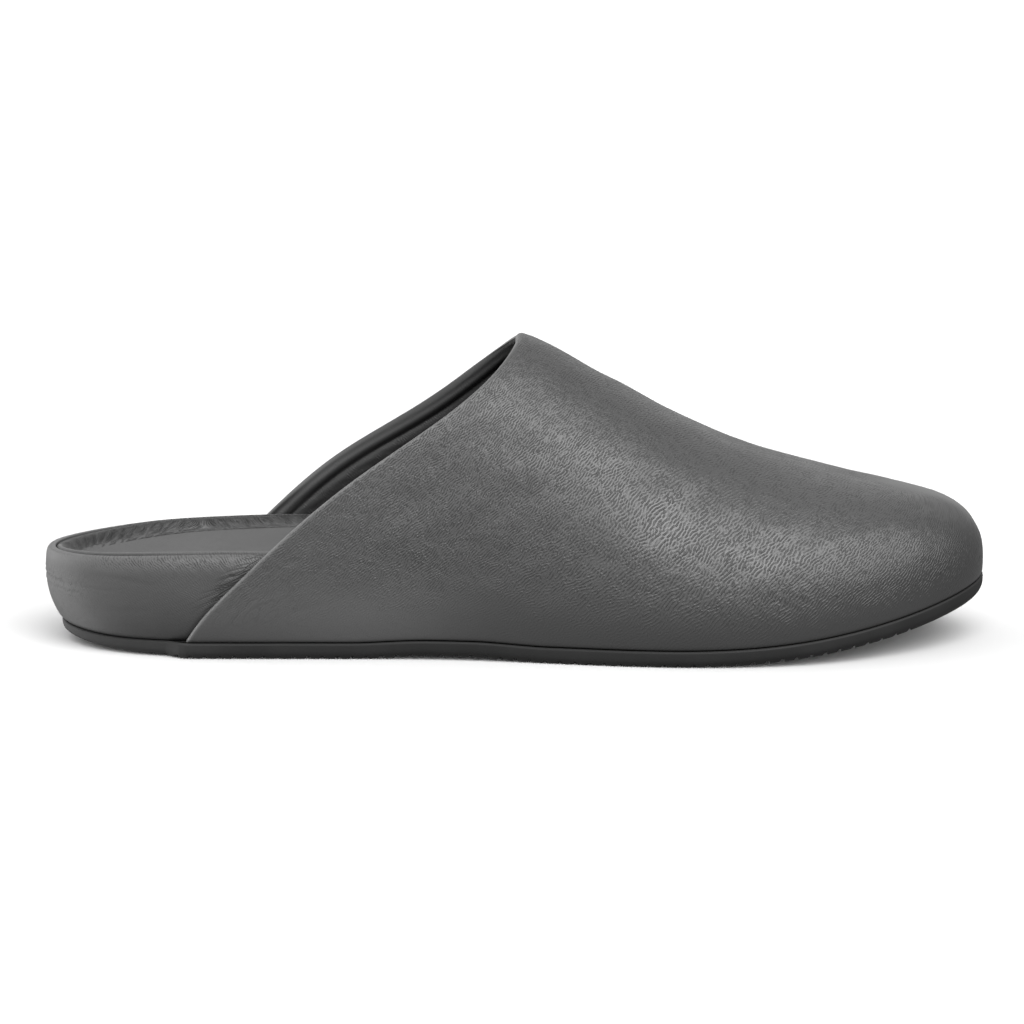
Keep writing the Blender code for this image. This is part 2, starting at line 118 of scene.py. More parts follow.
# The footbed along the last: heights of its rim and of the insole's edge as shares of the rim's rise
RIM_RISE = HEEL_HEIGHT - SOLE_THICKNESS
BED = (
    (0, 0.84, 0.74, 0, 4.2, 6.6, 0),
    (0.06, 0.945, 0.812, 0.1, 4.2, 5.8, 0.2),
    (0.15, 1.01, 0.869, 0.4, 4.2, 4.6, 0.5),
    (0.28, 0.99, 0.862, 2.2, 3.8, 4.2, 0.1),
    (0.38, 0.865, 0.754, 3.2, 2.6, 3.6, 0),
    (0.5, 0.635, 0.569, 2.4, 1.4, 2.8, 0),
    (0.64, 0.462, 0.423, 0.6, 0.8, 2.2, 0),
    (0.8, 0.415, 0.385, 0, 0.6, 2.1, 0),
    (1, 0.377, 0.346, 0, 0.4, 2.1, 0),
)
WRAP_END_STATION = 0.375
WRAP_SKIVE_START = 60.0
WRAP_SKIVED_WALL = 0.7
WRAP_STEP = 22.0
RIM_ARCH = 0.8
HALF_SEAT = 24.0

# The outsole's edge and tread
SOLE_STEP_START = 36.0
SOLE_STEP_END = 44.0
SOLE_PROUD = 0.2
SOLE_ROUND = 2.0
SOLE_HEEL_ROUND = 7.5
SOLE_HEEL_REACH = 45.0
GROOVE_PITCH = 4.4
GROOVE_WIDTH = 1.4
GROOVE_DEPTH = 1.0
GROOVE_FIRST = 14.0
GROOVE_LAST = 262.0


def spline(xs, ys):
    """A natural cubic spline through a table's rows, level beyond its ends."""
    xs = np.asarray(xs, float)
    ys = np.asarray(ys, float)
    span = np.diff(xs)
    rise = np.diff(ys) / span
    system = np.eye(len(xs))
    right = np.zeros(len(xs))
    for k in range(1, len(xs) - 1):
        system[k, k - 1 : k + 2] = span[k - 1], 2 * (span[k - 1] + span[k]), span[k]
        right[k] = 6 * (rise[k] - rise[k - 1])
    bend = np.linalg.solve(system, right)

    def at(x):
        x = np.clip(x, xs[0], xs[-1])
        k = np.clip(np.searchsorted(xs, x) - 1, 0, len(span) - 1)
        b = (x - xs[k]) / span[k]
        a = 1 - b
        curve = ((a**3 - a) * bend[k] + (b**3 - b) * bend[k + 1]) * span[k] ** 2 / 6
        return a * ys[k] + b * ys[k + 1] + curve

    return at


def columns_of(names, rows, **scales):
    """A spline for each named column of a table against its first column, both scaled to millimetres."""
    names = names.split()
    table = np.array(rows, float) * [scales.get(name, 1.0) for name in names]
    return {name: spline(table[:, 0], table[:, k]) for k, name in enumerate(names) if k}


def station_x(p):
    """Distance from the heel of station p: 0 is the heel and 1 the toe, close-set at both ends."""
    return LAST_LENGTH * (1 - np.cos(np.pi * p)) / 2


def x_station(x):
    """The station at this distance from the heel."""
    return np.arccos(1 - 2 * np.clip(x / LAST_LENGTH, 0, 1)) / np.pi


WRAP_END = station_x(WRAP_END_STATION)
SECTION = columns_of(
    "station width swing roof ridge fullness bulge",
    SECTIONS,
    station=LAST_LENGTH,
    width=BALL_WIDTH,
    roof=INSTEP_HEIGHT,
)
COLLAR_AT = columns_of("height lateral medial", COLLAR)
BED_AT = columns_of(
    "station rim bed arch dish slope fall", BED, station=LAST_LENGTH, rim=RIM_RISE, bed=RIM_RISE
)


def ease(x, start, end):
    """0 before the start, 1 beyond the end and a smooth rise between."""
    share = np.clip((x - start) / (end - start), 0, 1)
    return share * share * (3 - 2 * share)


def bell(x, width, middle=0.0):
    """A smooth bump of height 1 and this half width."""
    return np.exp(-(((x - middle) / width) ** 2))


def soft_clamp(x, low, high, softness):
    """x held between low and high, with rounded corners."""
    above = softness * np.logaddexp(0, (x - low) / softness)
    beyond = softness * np.logaddexp(0, (x - high) / softness)
    return low + above - beyond


def lift(x):
    """How far the outsole's underside is off the floor: toe spring, arch and heel."""
    start = TOE_SPRING_START * LAST_LENGTH
    spring = np.clip((x - start) / (LAST_LENGTH - start), 0, None)
    waist = ease(x, ARCH_START, ARCH_FULL) * (1 - ease(x, ARCH_FALL, ARCH_END))
    heel = np.clip(1 - x / (HEEL_LIFT_END * LAST_LENGTH), 0, None)
    return TOE_SPRING * spring**TOE_SPRING_CURVE + ARCH_LIFT * waist + HEEL_LIFT * heel**2


def feather(x):
    """Height of the feather line, where the leather meets the outsole."""
    return SOLE_THICKNESS + lift(x)


def half_width(x):
    """Half the form's width at the feather line, rounded off at the heel and the toe."""
    toe = np.clip((x / LAST_LENGTH - TOE_CAP_START) / (1 - TOE_CAP_START), 0, 1)
    heel = np.clip(1 - x / LAST_LENGTH / HEEL_CAP_END, 0, 1)
    round_toe = np.clip(1 - toe**TOE_ROUND, 0, 1) ** (1 / TOE_ROUND)
    round_heel = np.clip(1 - heel**HEEL_ROUND, 0, 1) ** (1 / HEEL_ROUND)
    return SECTION["width"](x) * round_toe * round_heel


def form(side, p, t):
    """A point on the outer form of the upper. side is -1 lateral or +1 medial, p the station along the
    feather line, and t runs up the rib from 0 at the feather line to 1 at the ridge."""
    side, p, t = np.broadcast_arrays(*(np.asarray(k, float) for k in (side, p, t)))
    x = station_x(p)
    base = np.stack([x, SECTION["swing"](x) + side * half_width(x)], -1)
    top_x = soft_clamp(x, HEEL_POLE, TOE_POLE, POLE_SOFTNESS)
    inward = np.stack([top_x, SECTION["ridge"](top_x)], -1) - base
    power = SECTION["fullness"](x)
    turn = t ** (power / 2) / (t ** (power / 2) + (1 - t) ** (power / 2)) * np.pi / 2
    across = 1 - np.cos(turn) ** (2 / power)
    plan = base + inward * across[..., None]
    low = feather(x)
    rise = (SECTION["roof"](plan[..., 0]) - low) * np.sin(turn) ** (2 / power)
    swell = rise / BULGE_HEIGHT * np.exp(1 - rise / BULGE_HEIGHT)
    out = SECTION["bulge"](x) * swell * (1 - across)
    reach = norm(inward, axis=-1)
    plan = plan - inward * (out / reach)[..., None]
    return np.concatenate([plan, (low + rise)[..., None]], -1)


def rib_share(p, rise):
    """The t at which a rib has risen this far above the feather line."""
    x = station_x(p)
    power = SECTION["fullness"](x)
    share = np.clip(rise / (SECTION["roof"](x) - feather(x)), 0, 0.98)
    turn = np.arcsin(share ** (power / 2)) / (np.pi / 2)
    ratio = (turn / (1 - turn)) ** (2 / power)
    return ratio / (1 + ratio)


def ring(side, p, height, inset):
    """A level line on the form at this height above the feather line, moved in by inset."""
    t = rib_share(p, height)
    step = 1e-4
    inner = np.clip(p, step, 1 - step)
    along = form(side, inner + step, t) - form(side, inner - step, t)
    up = form(side, inner, t + step) - form(side, inner, np.maximum(t - step, 0))
    normal = np.cross(along, up) * -np.asarray(side)[:, None]
    normal /= norm(normal, axis=-1, keepdims=True)
    level = norm(normal[:, :2], axis=-1, keepdims=True)
    points = form(side, p, t)
    points[:, :2] += -normal[:, :2] / level * (inset / level[:, 0])[:, None]
    points[:, 2] = feather(points[:, 0]) + height
    return points


def collar_x(side, z):
    """Distance from the heel of the collar's edge at this height."""
    return np.where(side < 0, COLLAR_AT["lateral"](z), COLLAR_AT["medial"](z))


def collar_station(side, t):
    """The station where each rib leaves the collar's edge."""
    low, high = (np.full(t.shape, end) for end in COLLAR_SPAN)
    for _ in range(BISECTIONS):
        middle = (low + high) / 2
        spot = form(side, middle, t)
        behind = spot[..., 0] < collar_x(side, spot[..., 2])
        low = np.where(behind, middle, low)
        high = np.where(behind, high, middle)
    return (low + high) / 2


def row_shift():
    """From the last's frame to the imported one: the upper's toe tip and sides are the same in both."""
    rib = form(-1.0, 1.0, np.linspace(0, 1, 200))
    p = np.linspace(0.4, 1, 400)[:, None]
    t = np.linspace(0, 0.6, 60)[None]
    low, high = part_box("upper")
    left = form(-1.0, p, t)[..., 1].min()
    right = form(1.0, p, t)[..., 1].max()
    return np.array(
        [high[0] / MM - rib[:, 0].max(), (low[1] + high[1]) / 2 / MM - (left + right) / 2, 0.0]
    )


SHIFT = row_shift()


def to_row(points):
    """Points of the last's frame, in millimetres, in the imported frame, in metres."""
    return (np.asarray(points, float) + SHIFT) * MM


# Creases, placed in the side view: a trough from (x0, z0) to (x1, z1), its bow upwards, half width and
# depth; it has a soft ridge on its upper side
VAMP_CREASES = (
    # The rear wing, where the leather bends round the heel
    (55.5, 8.5, 67, 20.5, 1.2, 0.45, 0.07), (64, 18.5, 76, 25.5, -1, 0.5, 0.06),
    (71, 12, 88, 17, 1.6, 0.7, 0.05), (67, 22, 80, 33, 1.3, 0.45, 0.07),
    (79, 27, 96, 35, -1.4, 0.6, 0.05),
    # Broad folds along the instep
    (104, 50, 150, 70, 2.5, 4.2, 0.36), (98, 40, 146, 58, 2, 4.6, 0.28),
    (126, 60, 168, 66, -2, 3.6, 0.24), (132, 44, 186, 58, 3, 4.4, 0.22),
    # Where the forefoot bends
    (176, 36, 205, 54, 1.5, 3, 0.2), (190, 30, 222, 47, 1.8, 2.8, 0.18),
    (206, 26, 236, 41, 1.2, 2.6, 0.14),
)
WRAP_CREASES = (
    # A fan of wrinkles at the upper's edge
    (56, 26.8, 64.5, 29.2, 0.3, 0.3, 0.1), (54.5, 25.6, 63.5, 28, 0.4, 0.3, 0.16),
    (54, 24.2, 62.5, 26.9, 0.3, 0.32, 0.18), (52, 23, 61.5, 25.7, 0.5, 0.32, 0.18),
    (53, 21.8, 60.5, 24.4, 0.4, 0.3, 0.17), (51.5, 20.2, 59, 23, 0.3, 0.32, 0.15),
    (52, 18.4, 57.5, 21.4, 0.3, 0.3, 0.13), (50.5, 15.6, 55, 19.2, 0.3, 0.32, 0.11),
    (48.5, 12.6, 52, 16.4, 0.3, 0.3, 0.09),
    # The fold across the back of the heel
    (-6, 20.6, 14, 19.4, 0.4, 0.5, 0.24), (-6, 18.9, 12, 17.9, -0.3, 0.4, 0.16),
    (-6, 22.2, 9, 21.2, 0.3, 0.4, 0.14), (4, 21.4, 24, 20, -0.5, 0.45, 0.14),
    (14, 24, 36, 21.5, 0.8, 0.9, 0.07), (12, 14, 34, 15, -0.8, 1.1, 0.07),
)

# Creases across the rim's slope: place along the rim from the heel's back (medial positive), lean along the
# rim on the way down, half width and depth
RIM_CREASES = (
    # Lateral side
    (-81, -4, 1, 0.12), (-72, -4.5, 0.9, 0.16), (-64, -4, 0.9, 0.18), (-57, 3, 1, 0.14),
    (-50, 6, 0.8, 0.2), (-43, 6, 0.9, 0.22), (-36, 7, 0.9, 0.2), (-29, 8, 1, 0.2),
    (-22, 8, 1, 0.18), (-15, 7, 1.2, 0.16), (-6, 4, 1.4, 0.1),
    # Back and medial side: leaning back towards the heel, then forwards
    (4, -3, 1.6, 0.1), (11, -6, 1.4, 0.14), (17, -8, 1.2, 0.16), (22, -9, 1.1, 0.2),
    (26, -9, 1, 0.24), (30, -10, 1.1, 0.2), (34.5, -9, 1, 0.22), (38, -8, 1.2, 0.18),
    (42, -7, 0.9, 0.24), (45, -7, 0.8, 0.28), (48, -7, 0.8, 0.28), (51, -6.5, 0.8, 0.26),
    (55, -6, 0.9, 0.22), (60, -2, 1.1, 0.14), (65, 3, 0.8, 0.26), (67.5, 4, 0.8, 0.28),
    (70.5, 4.5, 0.8, 0.22), (75, 4.5, 0.9, 0.18), (79, 5, 0.8, 0.2), (83, 4.5, 0.9, 0.16),
    (88, 5, 0.9, 0.14), (94, 4, 1, 0.1),
)
# The lean of the fine streaks between them, along the rim
STREAK_PLACES = (-95, -62, -45, -18, 0, 18, 42, 56, 66, 95)
STREAK_LEANS = (-4.5, -4, 6, 8, 0, -8, -7.5, -6, 3.5, 4.5)
# The soft ridge beside a crease: its height as a share of the depth, and its place in half widths
RIDGE_SHARE = 0.55
RIDGE_PLACE = 1.7
CREASE_END_FADE = 0.7


def crease_relief(x, z, creases):
    """How far the creases push each point of the side view out or in."""
    total = np.zeros(np.broadcast(x, z).shape)
    for x0, z0, x1, z1, bow, width, depth in creases:
        run = np.array((x1 - x0, z1 - z0))
        length = np.hypot(*run)
        ux, uz = run / length
        share = ((x - x0) * ux + (z - z0) * uz) / length
        inside = np.clip(share, 0, 1)
        offset = -(x - x0) * uz + (z - z0) * ux - bow * 4 * inside * (1 - inside)
        fade = np.sin(np.pi * inside) ** CREASE_END_FADE * bell((share - inside) * length, width)
        ridge = RIDGE_SHARE * bell(offset, width, RIDGE_PLACE * width)
        total += depth * fade * (ridge - bell(offset, width))
    return total


def ripple(x, y, wave, seed, count=14):
    """A gentle unevenness of height about 1, from waves about this long in all directions."""
    rng = np.random.default_rng(seed)
    total = np.zeros(np.broadcast(x, y).shape)
    for _ in range(count):
        turn = rng.uniform(0, np.pi)
        length = wave * rng.uniform(0.6, 1.7)
        phase = rng.uniform(0, 2 * np.pi)
        total += np.sin(2 * np.pi * (x * np.cos(turn) + y * np.sin(turn)) / length + phase)
    return total / np.sqrt(count)


def section_rows(keys, count):
    """A smooth run of count rows through a section's key rows."""
    keys = np.asarray(keys)
    places = np.arange(len(keys))
    at = np.linspace(0, len(keys) - 1, count)
    weights = np.stack([spline(places, np.eye(len(keys))[k])(at) for k in places], 1)
    return np.tensordot(weights, keys, axes=1)


def numbers_of(points, start=0):
    """Vertex numbers of a grid of points, from start."""
    return start + np.arange(points.shape[0] * points.shape[1]).reshape(points.shape[:2])


def grid_faces(index, closed_rows=False, closed_columns=False):
    """Quads between neighbouring entries of a grid of vertex numbers."""
    if closed_rows:
        index = np.concatenate([index, index[:1]])
    if closed_columns:
        index = np.concatenate([index, index[:, :1]], 1)
    corners = (index[:-1, :-1], index[:-1, 1:], index[1:, 1:], index[1:, :-1])
    return np.stack(corners, -1).reshape(-1, 4)


# A mesh's values where its piece gives none: how strong grain and wrinkles are, and a factor of the colour,
# the tone, which carries painted light and shade
PLAIN = {"grain": 0.3, "wrinkle": 0.0, "tone": 1.0}


def add(name, data):
    """A new object in the scene."""
    obj = bpy.data.objects.new(name, data)
    bpy.context.scene.collection.objects.link(obj)
    return obj


def mesh_of(name, points, faces, skin, values):
    """A smooth mesh object from points of the last's frame and quads. skin gives each point's place on the
    flat leather, in millimetres, and each value is one number or a number for each point."""
    faces = [tuple(dict.fromkeys(face)) for face in faces.tolist()]
    mesh = bpy.data.meshes.new(name)
    mesh.from_pydata(to_row(points).tolist(), [], [face for face in faces if len(face) > 2])
    mesh.validate()
    for key, value in (PLAIN | values).items():
        level = np.broadcast_to(np.ravel(value).astype(np.float32), len(points))
        mesh.attributes.new(key, "FLOAT", "POINT").data.foreach_set("value", level)
    flat_place = np.concatenate([skin, np.zeros((len(points), 1))], 1).astype(np.float32)
    mesh.attributes.new("skin", "FLOAT_VECTOR", "POINT").data.foreach_set("vector", flat_place.ravel())
    mesh.shade_smooth()
    return add(name, mesh)


# Resolution of the pieces
UPPER_ROWS = 320
LINING_ROWS = 60
LINING_STRIDE = 6
EDGE_ROWS = 30
EDGE_REACH = 12.0
RIB_STEPS = 90
RIB_CROWDING = 1.35
HEEL_STATIONS = 250
WRAP_ROWS = 140
COVER_ROWS = 46
SOLE_STATIONS = 90
SOLE_ROWS = 30
# Stations round the footbed, close-set where the rim is creased
BED_LINE = np.concatenate([np.linspace(0, 0.43, 321)[:-1], np.linspace(0.43, 1, 91)])


def grid_normals(grid):
    """Outward normals of the upper's grid, which folds back on itself along the toe's rib."""
    beyond = grid[-2][::-1]
    along = np.gradient(np.concatenate([grid, beyond[None]]), axis=0)[:-1]
    across = np.gradient(grid, axis=1)
    normal = np.cross(along, across)
    normal[-1, grid.shape[1] // 2] = normal[-2, grid.shape[1] // 2]
    return normal / norm(normal, axis=-1, keepdims=True)


def both_sides(run, closed=False):
    """side and place of points along the lateral side and back along the medial one, which in a closed ring
    ends before the first point."""
    side = np.where(np.arange(2 * len(run) - 1) < len(run), -1.0, 1.0)
    end = len(side) - closed
    return side[:end], np.concatenate([run, run[-2::-1]])[:end]


def upper_grid():
    """The upper's outer form, rows from the collar's edge to the toe's rib and columns from the lateral
    feather line over the ridge to the medial one, with each row's distance from the edge."""
    side, t = both_sides(np.linspace(0, 1, RIB_STEPS + 1) ** RIB_CROWDING)
    edge = collar_station(side, t)
    step = 1e-3
    run = (form(side, edge + step, t) - form(side, edge, t)) / step
    line = np.gradient(form(side, edge, t), axis=0)
    area = norm(np.cross(run, line), axis=-1)
    straight = area / norm(line, axis=-1)
    near = EDGE_REACH * np.linspace(0, 1, EDGE_ROWS) ** 1.6
    stations = [edge + d / straight for d in near]
    far = np.linspace(0, 1, UPPER_ROWS + 1)[1:]
    stations += [stations[-1] + (1 - stations[-1]) * s for s in far]
    distance = np.concatenate([near, EDGE_REACH + far * LAST_LENGTH])
    return form(side, np.array(stations), t), distance, side


# The collar's rounded edge, the seam below its facing and the lining's swell beyond the seam
EDGE_CROWN = 0.8
TIP_CROWN = 2.0
TIP_RISE = (78.0, 90.0)
FACING_CROWN = 1.1
SEAM_WALL = 1.3
LINING_WALL = UPPER_WALL + 0.3
LINING_SWELL = 2.6
SEAM_FROM = 27.0
# The outer leather's tuck at the sole
HEM_TUCK = 0.5
HEM_TUCK_RISE = 1.5


def facing_wall(distance, height):
    """Thickness of the upper behind the collar's edge: a rolled facing, a seam and the lining. The facing is
    no thicker than the wall where it lies on the heel's rim."""
    middle = FACING_WIDTH / 2
    off = np.clip((distance - middle) / middle, -1, 1)
    facing = SEAM_WALL + (FACING_WALL - SEAM_WALL) * np.sqrt(1 - off**2)
    swell = np.clip((distance - FACING_WIDTH) / LINING_SWELL, 0, 1)
    lining = SEAM_WALL + (LINING_WALL - SEAM_WALL) * np.sqrt(1 - (1 - swell) ** 2)
    rolled = np.where(distance < FACING_WIDTH, facing, lining) - UPPER_WALL
    proud = np.maximum(rolled, 0) * ease(height, FACING_FROM, FACING_FULL)
    return UPPER_WALL + proud + np.minimum(rolled, 0) * ease(height, SEAM_FROM, FACING_FROM)


# Where the vamp's relief starts and is full, from the collar's edge, the sole and the ridge
EDGE_FADE = (1.5, 6.0)
HEM_FADE = (1.0, 5.0)
RIDGE_FADE = (0.0, 14.0)
# The vamp's broad and fine unevenness: height, wave length and where it is full
SWELLS = 0.10
SWELL_WAVE = 26.0
SWELL_FROM = 30.0
DENTS = 0.035
DENT_WAVE = 9.0
UNEVEN_FADE = (4.0, 20.0)


def upper_relief(grid, distance):
    """The outer leather's creases and unevenness, fading out at its edges."""
    x, y, z = np.moveaxis(grid, -1, 0)
    rise = z - feather(x)
    fade = ease(distance[:, None], *EDGE_FADE) * ease(rise, *HEM_FADE)
    over_ridge = 1 - ease(np.abs(y - SECTION["ridge"](x)), *RIDGE_FADE)
    creases = crease_relief(x, z, VAMP_CREASES) * (1 - over_ridge)
    uneven = SWELLS * ripple(x - SWELL_FROM, z + y, SWELL_WAVE, 5) + DENTS * ripple(x, z, DENT_WAVE, 8)
    return fade * (creases + uneven * ease(rise, *UNEVEN_FADE))


# How much larger the grain is at the toe, where it grows, and the girth from which it spreads
TOE_GRAIN = 0.25
TOE_GRAIN_RUN = (125.0, 205.0)
GRAIN_MIDDLE = 50.0
SKIN_LENGTH = LAST_LENGTH + 40.0
# Columns beyond the ridge where the two sides' grain meets, and its fades there and at the toe's rib
GRAIN_MEETING = 12
MEETING_FADE = (1.0, 8.0)
TOE_RIB_FADE = (2.0, 14.0)
# Where the grain is strong: in shares of the roof's height, then along the shoe
GRAIN_LOW = (0.03, 0.30)
GRAIN_TOP = (0.62, 0.85)
GRAIN_FRONT = (70.0, 120.0)
GRAIN_TOE = (215.0, 275.0)
# Where the tone's painted light and shade change up from the sole, towards the forefoot and at the toe, and
# how much: painted shade low on the forefoot and at the toe, painted light low on the wings, and a painted
# highlight and painted shade along the collar's lateral and medial edges
TONE_LOW = (6.0, 26.0)
TONE_FRONT = (90.0, 150.0)
TONE_TOE = (245.0, 283.0)
LOW_PAINTED_SHADE = 0.22
WING_PAINTED_LIGHT = 0.62
TOE_PAINTED_SHADE = 0.16
TURNED_EDGE = 0.8
EDGE_PAINTED_HIGHLIGHT = 1.5
FAR_EDGE_PAINTED_SHADE = 0.7
# The rear wing's wrinkles: where they start and end upwards and forwards
WING_WRINKLES = 0.2
WING_LOW = (8.0, 14.0)
WING_TOP = (30.0, 44.0)
WING_FRONT = (64.0, 92.0)
# The lining's folds
FOLD_SLANT = (0.62, 0.78)
FOLD_DEPTH = 0.14
FOLD_WAVE = 3.4


def skin_of(grid):
    """Places on the flat leather: along the shoe, and round it from the middle of each side. They are closer
    together towards the toe, where the grain is larger."""
    steps = norm(np.diff(grid, axis=0, prepend=grid[:1]), axis=-1)
    along = (grid[..., 0] + grid[:1, :, 0] + np.cumsum(steps, axis=0)) / 2
    girth = norm(np.diff(grid, axis=1, prepend=grid[:, :1])[..., 1:], axis=-1)
    x = np.arange(SKIN_LENGTH)
    finer = 1 - TOE_GRAIN * ease(x, *TOE_GRAIN_RUN)
    round_it = np.cumsum(girth, axis=1)
    medial = np.arange(grid.shape[1]) > RIB_STEPS + GRAIN_MEETING
    around = np.where(medial, round_it - round_it[:, -1:] + GRAIN_MIDDLE, round_it - GRAIN_MIDDLE)
    return np.stack([np.interp(along, x, np.cumsum(finer)), around * np.interp(along, x, finer)], -1)


def vamp_values(grid, distance, side):
    """How strong the outer leather's grain and the rear wing's wrinkles are, and the tone, which is painted
    light and shade: painted light low on the wings, a painted highlight at the collar's lateral edge, and
    painted shade at its medial edge, low on the forefoot and at the toe."""
    x, z = grid[..., 0], grid[..., 2]
    rise = z - feather(x)
    columns = np.arange(grid.shape[1]) - RIB_STEPS - GRAIN_MEETING - 0.5
    apart = ease(np.abs(columns), *MEETING_FADE) * ease(norm(grid - grid[-1], axis=-1), *TOE_RIB_FADE)
    share = rise / (SECTION["roof"](x) - feather(x))
    band = ease(share, *GRAIN_LOW) * (1 - 0.1 * ease(share, *GRAIN_TOP))
    forward = ease(x, *GRAIN_FRONT) * (1 - 0.55 * ease(x, *GRAIN_TOE))
    wing = ease(z, *WING_LOW) * (1 - ease(z, *WING_TOP))
    low = 1 - ease(rise, *TONE_LOW)
    front = ease(x, *TONE_FRONT)
    # Painted highlight along the collar's lateral edge, painted shade along its medial one
    edge = bell(distance[:, None], TURNED_EDGE) * np.where(side < 0, EDGE_PAINTED_HIGHLIGHT, -FAR_EDGE_PAINTED_SHADE)
    tip = TOE_PAINTED_SHADE * ease(x, *TONE_TOE)
    return {
        "grain": (0.2 + 0.8 * band * (0.55 + 0.45 * forward)) * apart,
        "wrinkle": WING_WRINKLES * wing * (1 - ease(x, *WING_FRONT)) * apart,
        "tone": 1 + edge - tip - low * (LOW_PAINTED_SHADE * front - WING_PAINTED_LIGHT * (1 - front)),
    }


def lining_folds(grid):
    """Soft folds of the lining, which run forwards and down from the facing's seam."""
    x, z = grid[..., 0], grid[..., 2]
    across = FOLD_SLANT[0] * x + FOLD_SLANT[1] * z + 0.9 * ripple(x, z, 11.0, 23, 6)
    return FOLD_DEPTH * ripple(across, 0.1 * (x - z), FOLD_WAVE, 21)


def build_upper():
    """The vamp: outer leather with its creases, the rolled facing inside the collar, and the lining."""
    grid, distance, side = upper_grid()
    normal = grid_normals(grid)
    reach = distance[:, None]
    rise = grid[..., 2] - feather(grid[..., 0])
    crown = EDGE_CROWN + (TIP_CROWN - EDGE_CROWN) * ease(grid[..., 2], *TIP_RISE)
    rounding = crown * (1 - np.sqrt(1 - np.clip(1 - reach / crown, 0, 1) ** 2))
    tuck = HEM_TUCK * np.clip(1 - rise / HEM_TUCK_RISE, 0, 1) ** 2
    outer = grid - normal * (rounding + tuck - upper_relief(grid, distance))[..., None]

    fine = EDGE_ROWS + LINING_ROWS
    kept = np.r_[0:fine, fine : len(grid) - 1 : LINING_STRIDE, len(grid) - 1]
    turned = np.sqrt(1 - np.clip(1 - reach / FACING_CROWN, 0, 1) ** 2)
    depth = crown + (facing_wall(reach, grid[..., 2]) - crown) * turned
    folds = lining_folds(grid) * ease(reach, FACING_WIDTH + 0.6, FACING_WIDTH + 3.0)
    inner = (grid - normal * (depth + folds)[..., None])[kept]
    for face in (outer, inner):
        face[:, [0, -1], 2] = feather(face[:, [0, -1], 0]) + GAP

    outside = numbers_of(outer)
    inside = numbers_of(inner, outside.size)
    inside[0] = outside[0]
    for index in (outside, inside):
        index[-1, RIB_STEPS + 1 :] = index[-1, RIB_STEPS - 1 :: -1]
    hems = [grid_faces(np.stack([outside[kept, k], inside[:, k]])) for k in (0, -1)]
    faces = [grid_faces(outside), grid_faces(inside)[:, ::-1], hems[0][:, ::-1], hems[1]]
    lining = (ease(reach, FACING_WIDTH - 0.3, FACING_WIDTH + 0.3) + 0 * folds)[kept]
    # Painted shade on the facing's crown and over the lining, a painted highlight along the facing's middle
    # and on the lining's lip, and painted light and shade that follow the lining's folds
    shade = 0.30 + 1.9 * bell(reach, 0.85, 2.5) + 0.55 * bell(reach - FACING_WIDTH, 1.1, 1.3)
    shade = (shade - 0.5 * np.clip(folds, -0.2, 0.2))[kept]
    values = vamp_values(grid, distance, side)
    for key, inner_value in (("grain", 0.25 + 0.25 * lining), ("wrinkle", 0 * lining), ("tone", shade)):
        values[key] = np.concatenate([values[key], inner_value])
    points = np.concatenate([outer, inner]).reshape(-1, 3)
    skin = skin_of(grid)
    skin = np.concatenate([skin, skin[kept]]).reshape(-1, 2)
    return mesh_of("upper_leather", points, np.concatenate(faces), skin, values)


def wrap_wall(x):
    """Thickness of the heel's leather wrap, skived towards its front edge."""
    thin = ease(x, WRAP_SKIVE_START, WRAP_END)
    return WRAP_WALL + (WRAP_SKIVED_WALL - WRAP_WALL) * thin


def wrap_room(x):
    """The footbed's room for the wrap, closing up beyond the wrap's front edge."""
    return (wrap_wall(x) + GAP) * (1 - ease(x, WRAP_END, WRAP_END + WRAP_STEP))


def rim_height(side, x):
    """Height above the feather line of the rim's top, which follows the arch on the medial side."""
    return BED_AT["rim"](x) + np.where(side > 0, RIM_ARCH * BED_AT["arch"](x) - BED_AT["fall"](x), 0)


def bed_edge(side, x):
    """Height above the feather line of the insole's edge, with the arch on the medial side."""
    return BED_AT["bed"](x) + np.where(side > 0, BED_AT["arch"](x), 0)


# Sections of the heel: share of the rim's height and how far in from the seat's inset
WRAP_SIDE = (
    (0.012, 0.45), (0.04, 0.1), (0.12, 0), (0.35, 0), (0.6, 0), (0.8, 0), (0.9, 0.08),
    (0.95, 0.36), (0.982, 0.85),
)
RIM_TOP_ROLL = 1.3
# The wrap's rolled top: share of the rim's height and share of the wrap's wall beyond the roll
WRAP_TOP = ((0.990, 0.08), (0.997, 0.45), (0.999, 0.80), (0.980, 1.0), (0.88, 1.03))
# The wrap's inner face: shares of the rim's height, and how far in it lies
WRAP_BACKING = (0.6, 0.02)
WRAP_BACKING_INSET = SEAT_INSET + RIM_TOP_ROLL * 0.5
# The footbed's side under the wrap: share of the rim's height and how far in from the wrap's room
CORE_SIDE = ((0, 0.2), (0.1, 0), (0.6, 0.1))
# The rim's cover: share of the rim's height at the seam, then shares of the slope's drop and run
COVER_SEAM = ((0.86, -0.02), (0.95, -0.005))
COVER_SLOPE = (
    (0.1, 0.04), (0, 0.14), (0.03, 0.3), (0.28, 0.56), (0.74, 0.82), (0.98, 1), (1.1, 1.22),
)
RECESS_RUN = 1.24
# The cover is puffed up beside the seam, more on the lateral side
PUFF_LATERAL = 0.75
PUFF_MEDIAL = -0.30
PUFF_TURN = (-18.0, 12.0)
PUFF_RUN = 0.16
# A painted highlight along the cover's lateral crest: its strength and width
CREST_PAINTED_HIGHLIGHT = 2.2
CREST_WIDTH = 0.07
# Reach of the wrinkles and of the painted shadow beside the upper's edge
EDGE_WRINKLES = (1.0, 8.0)
EDGE_PAINTED_SHADOW = 1.1
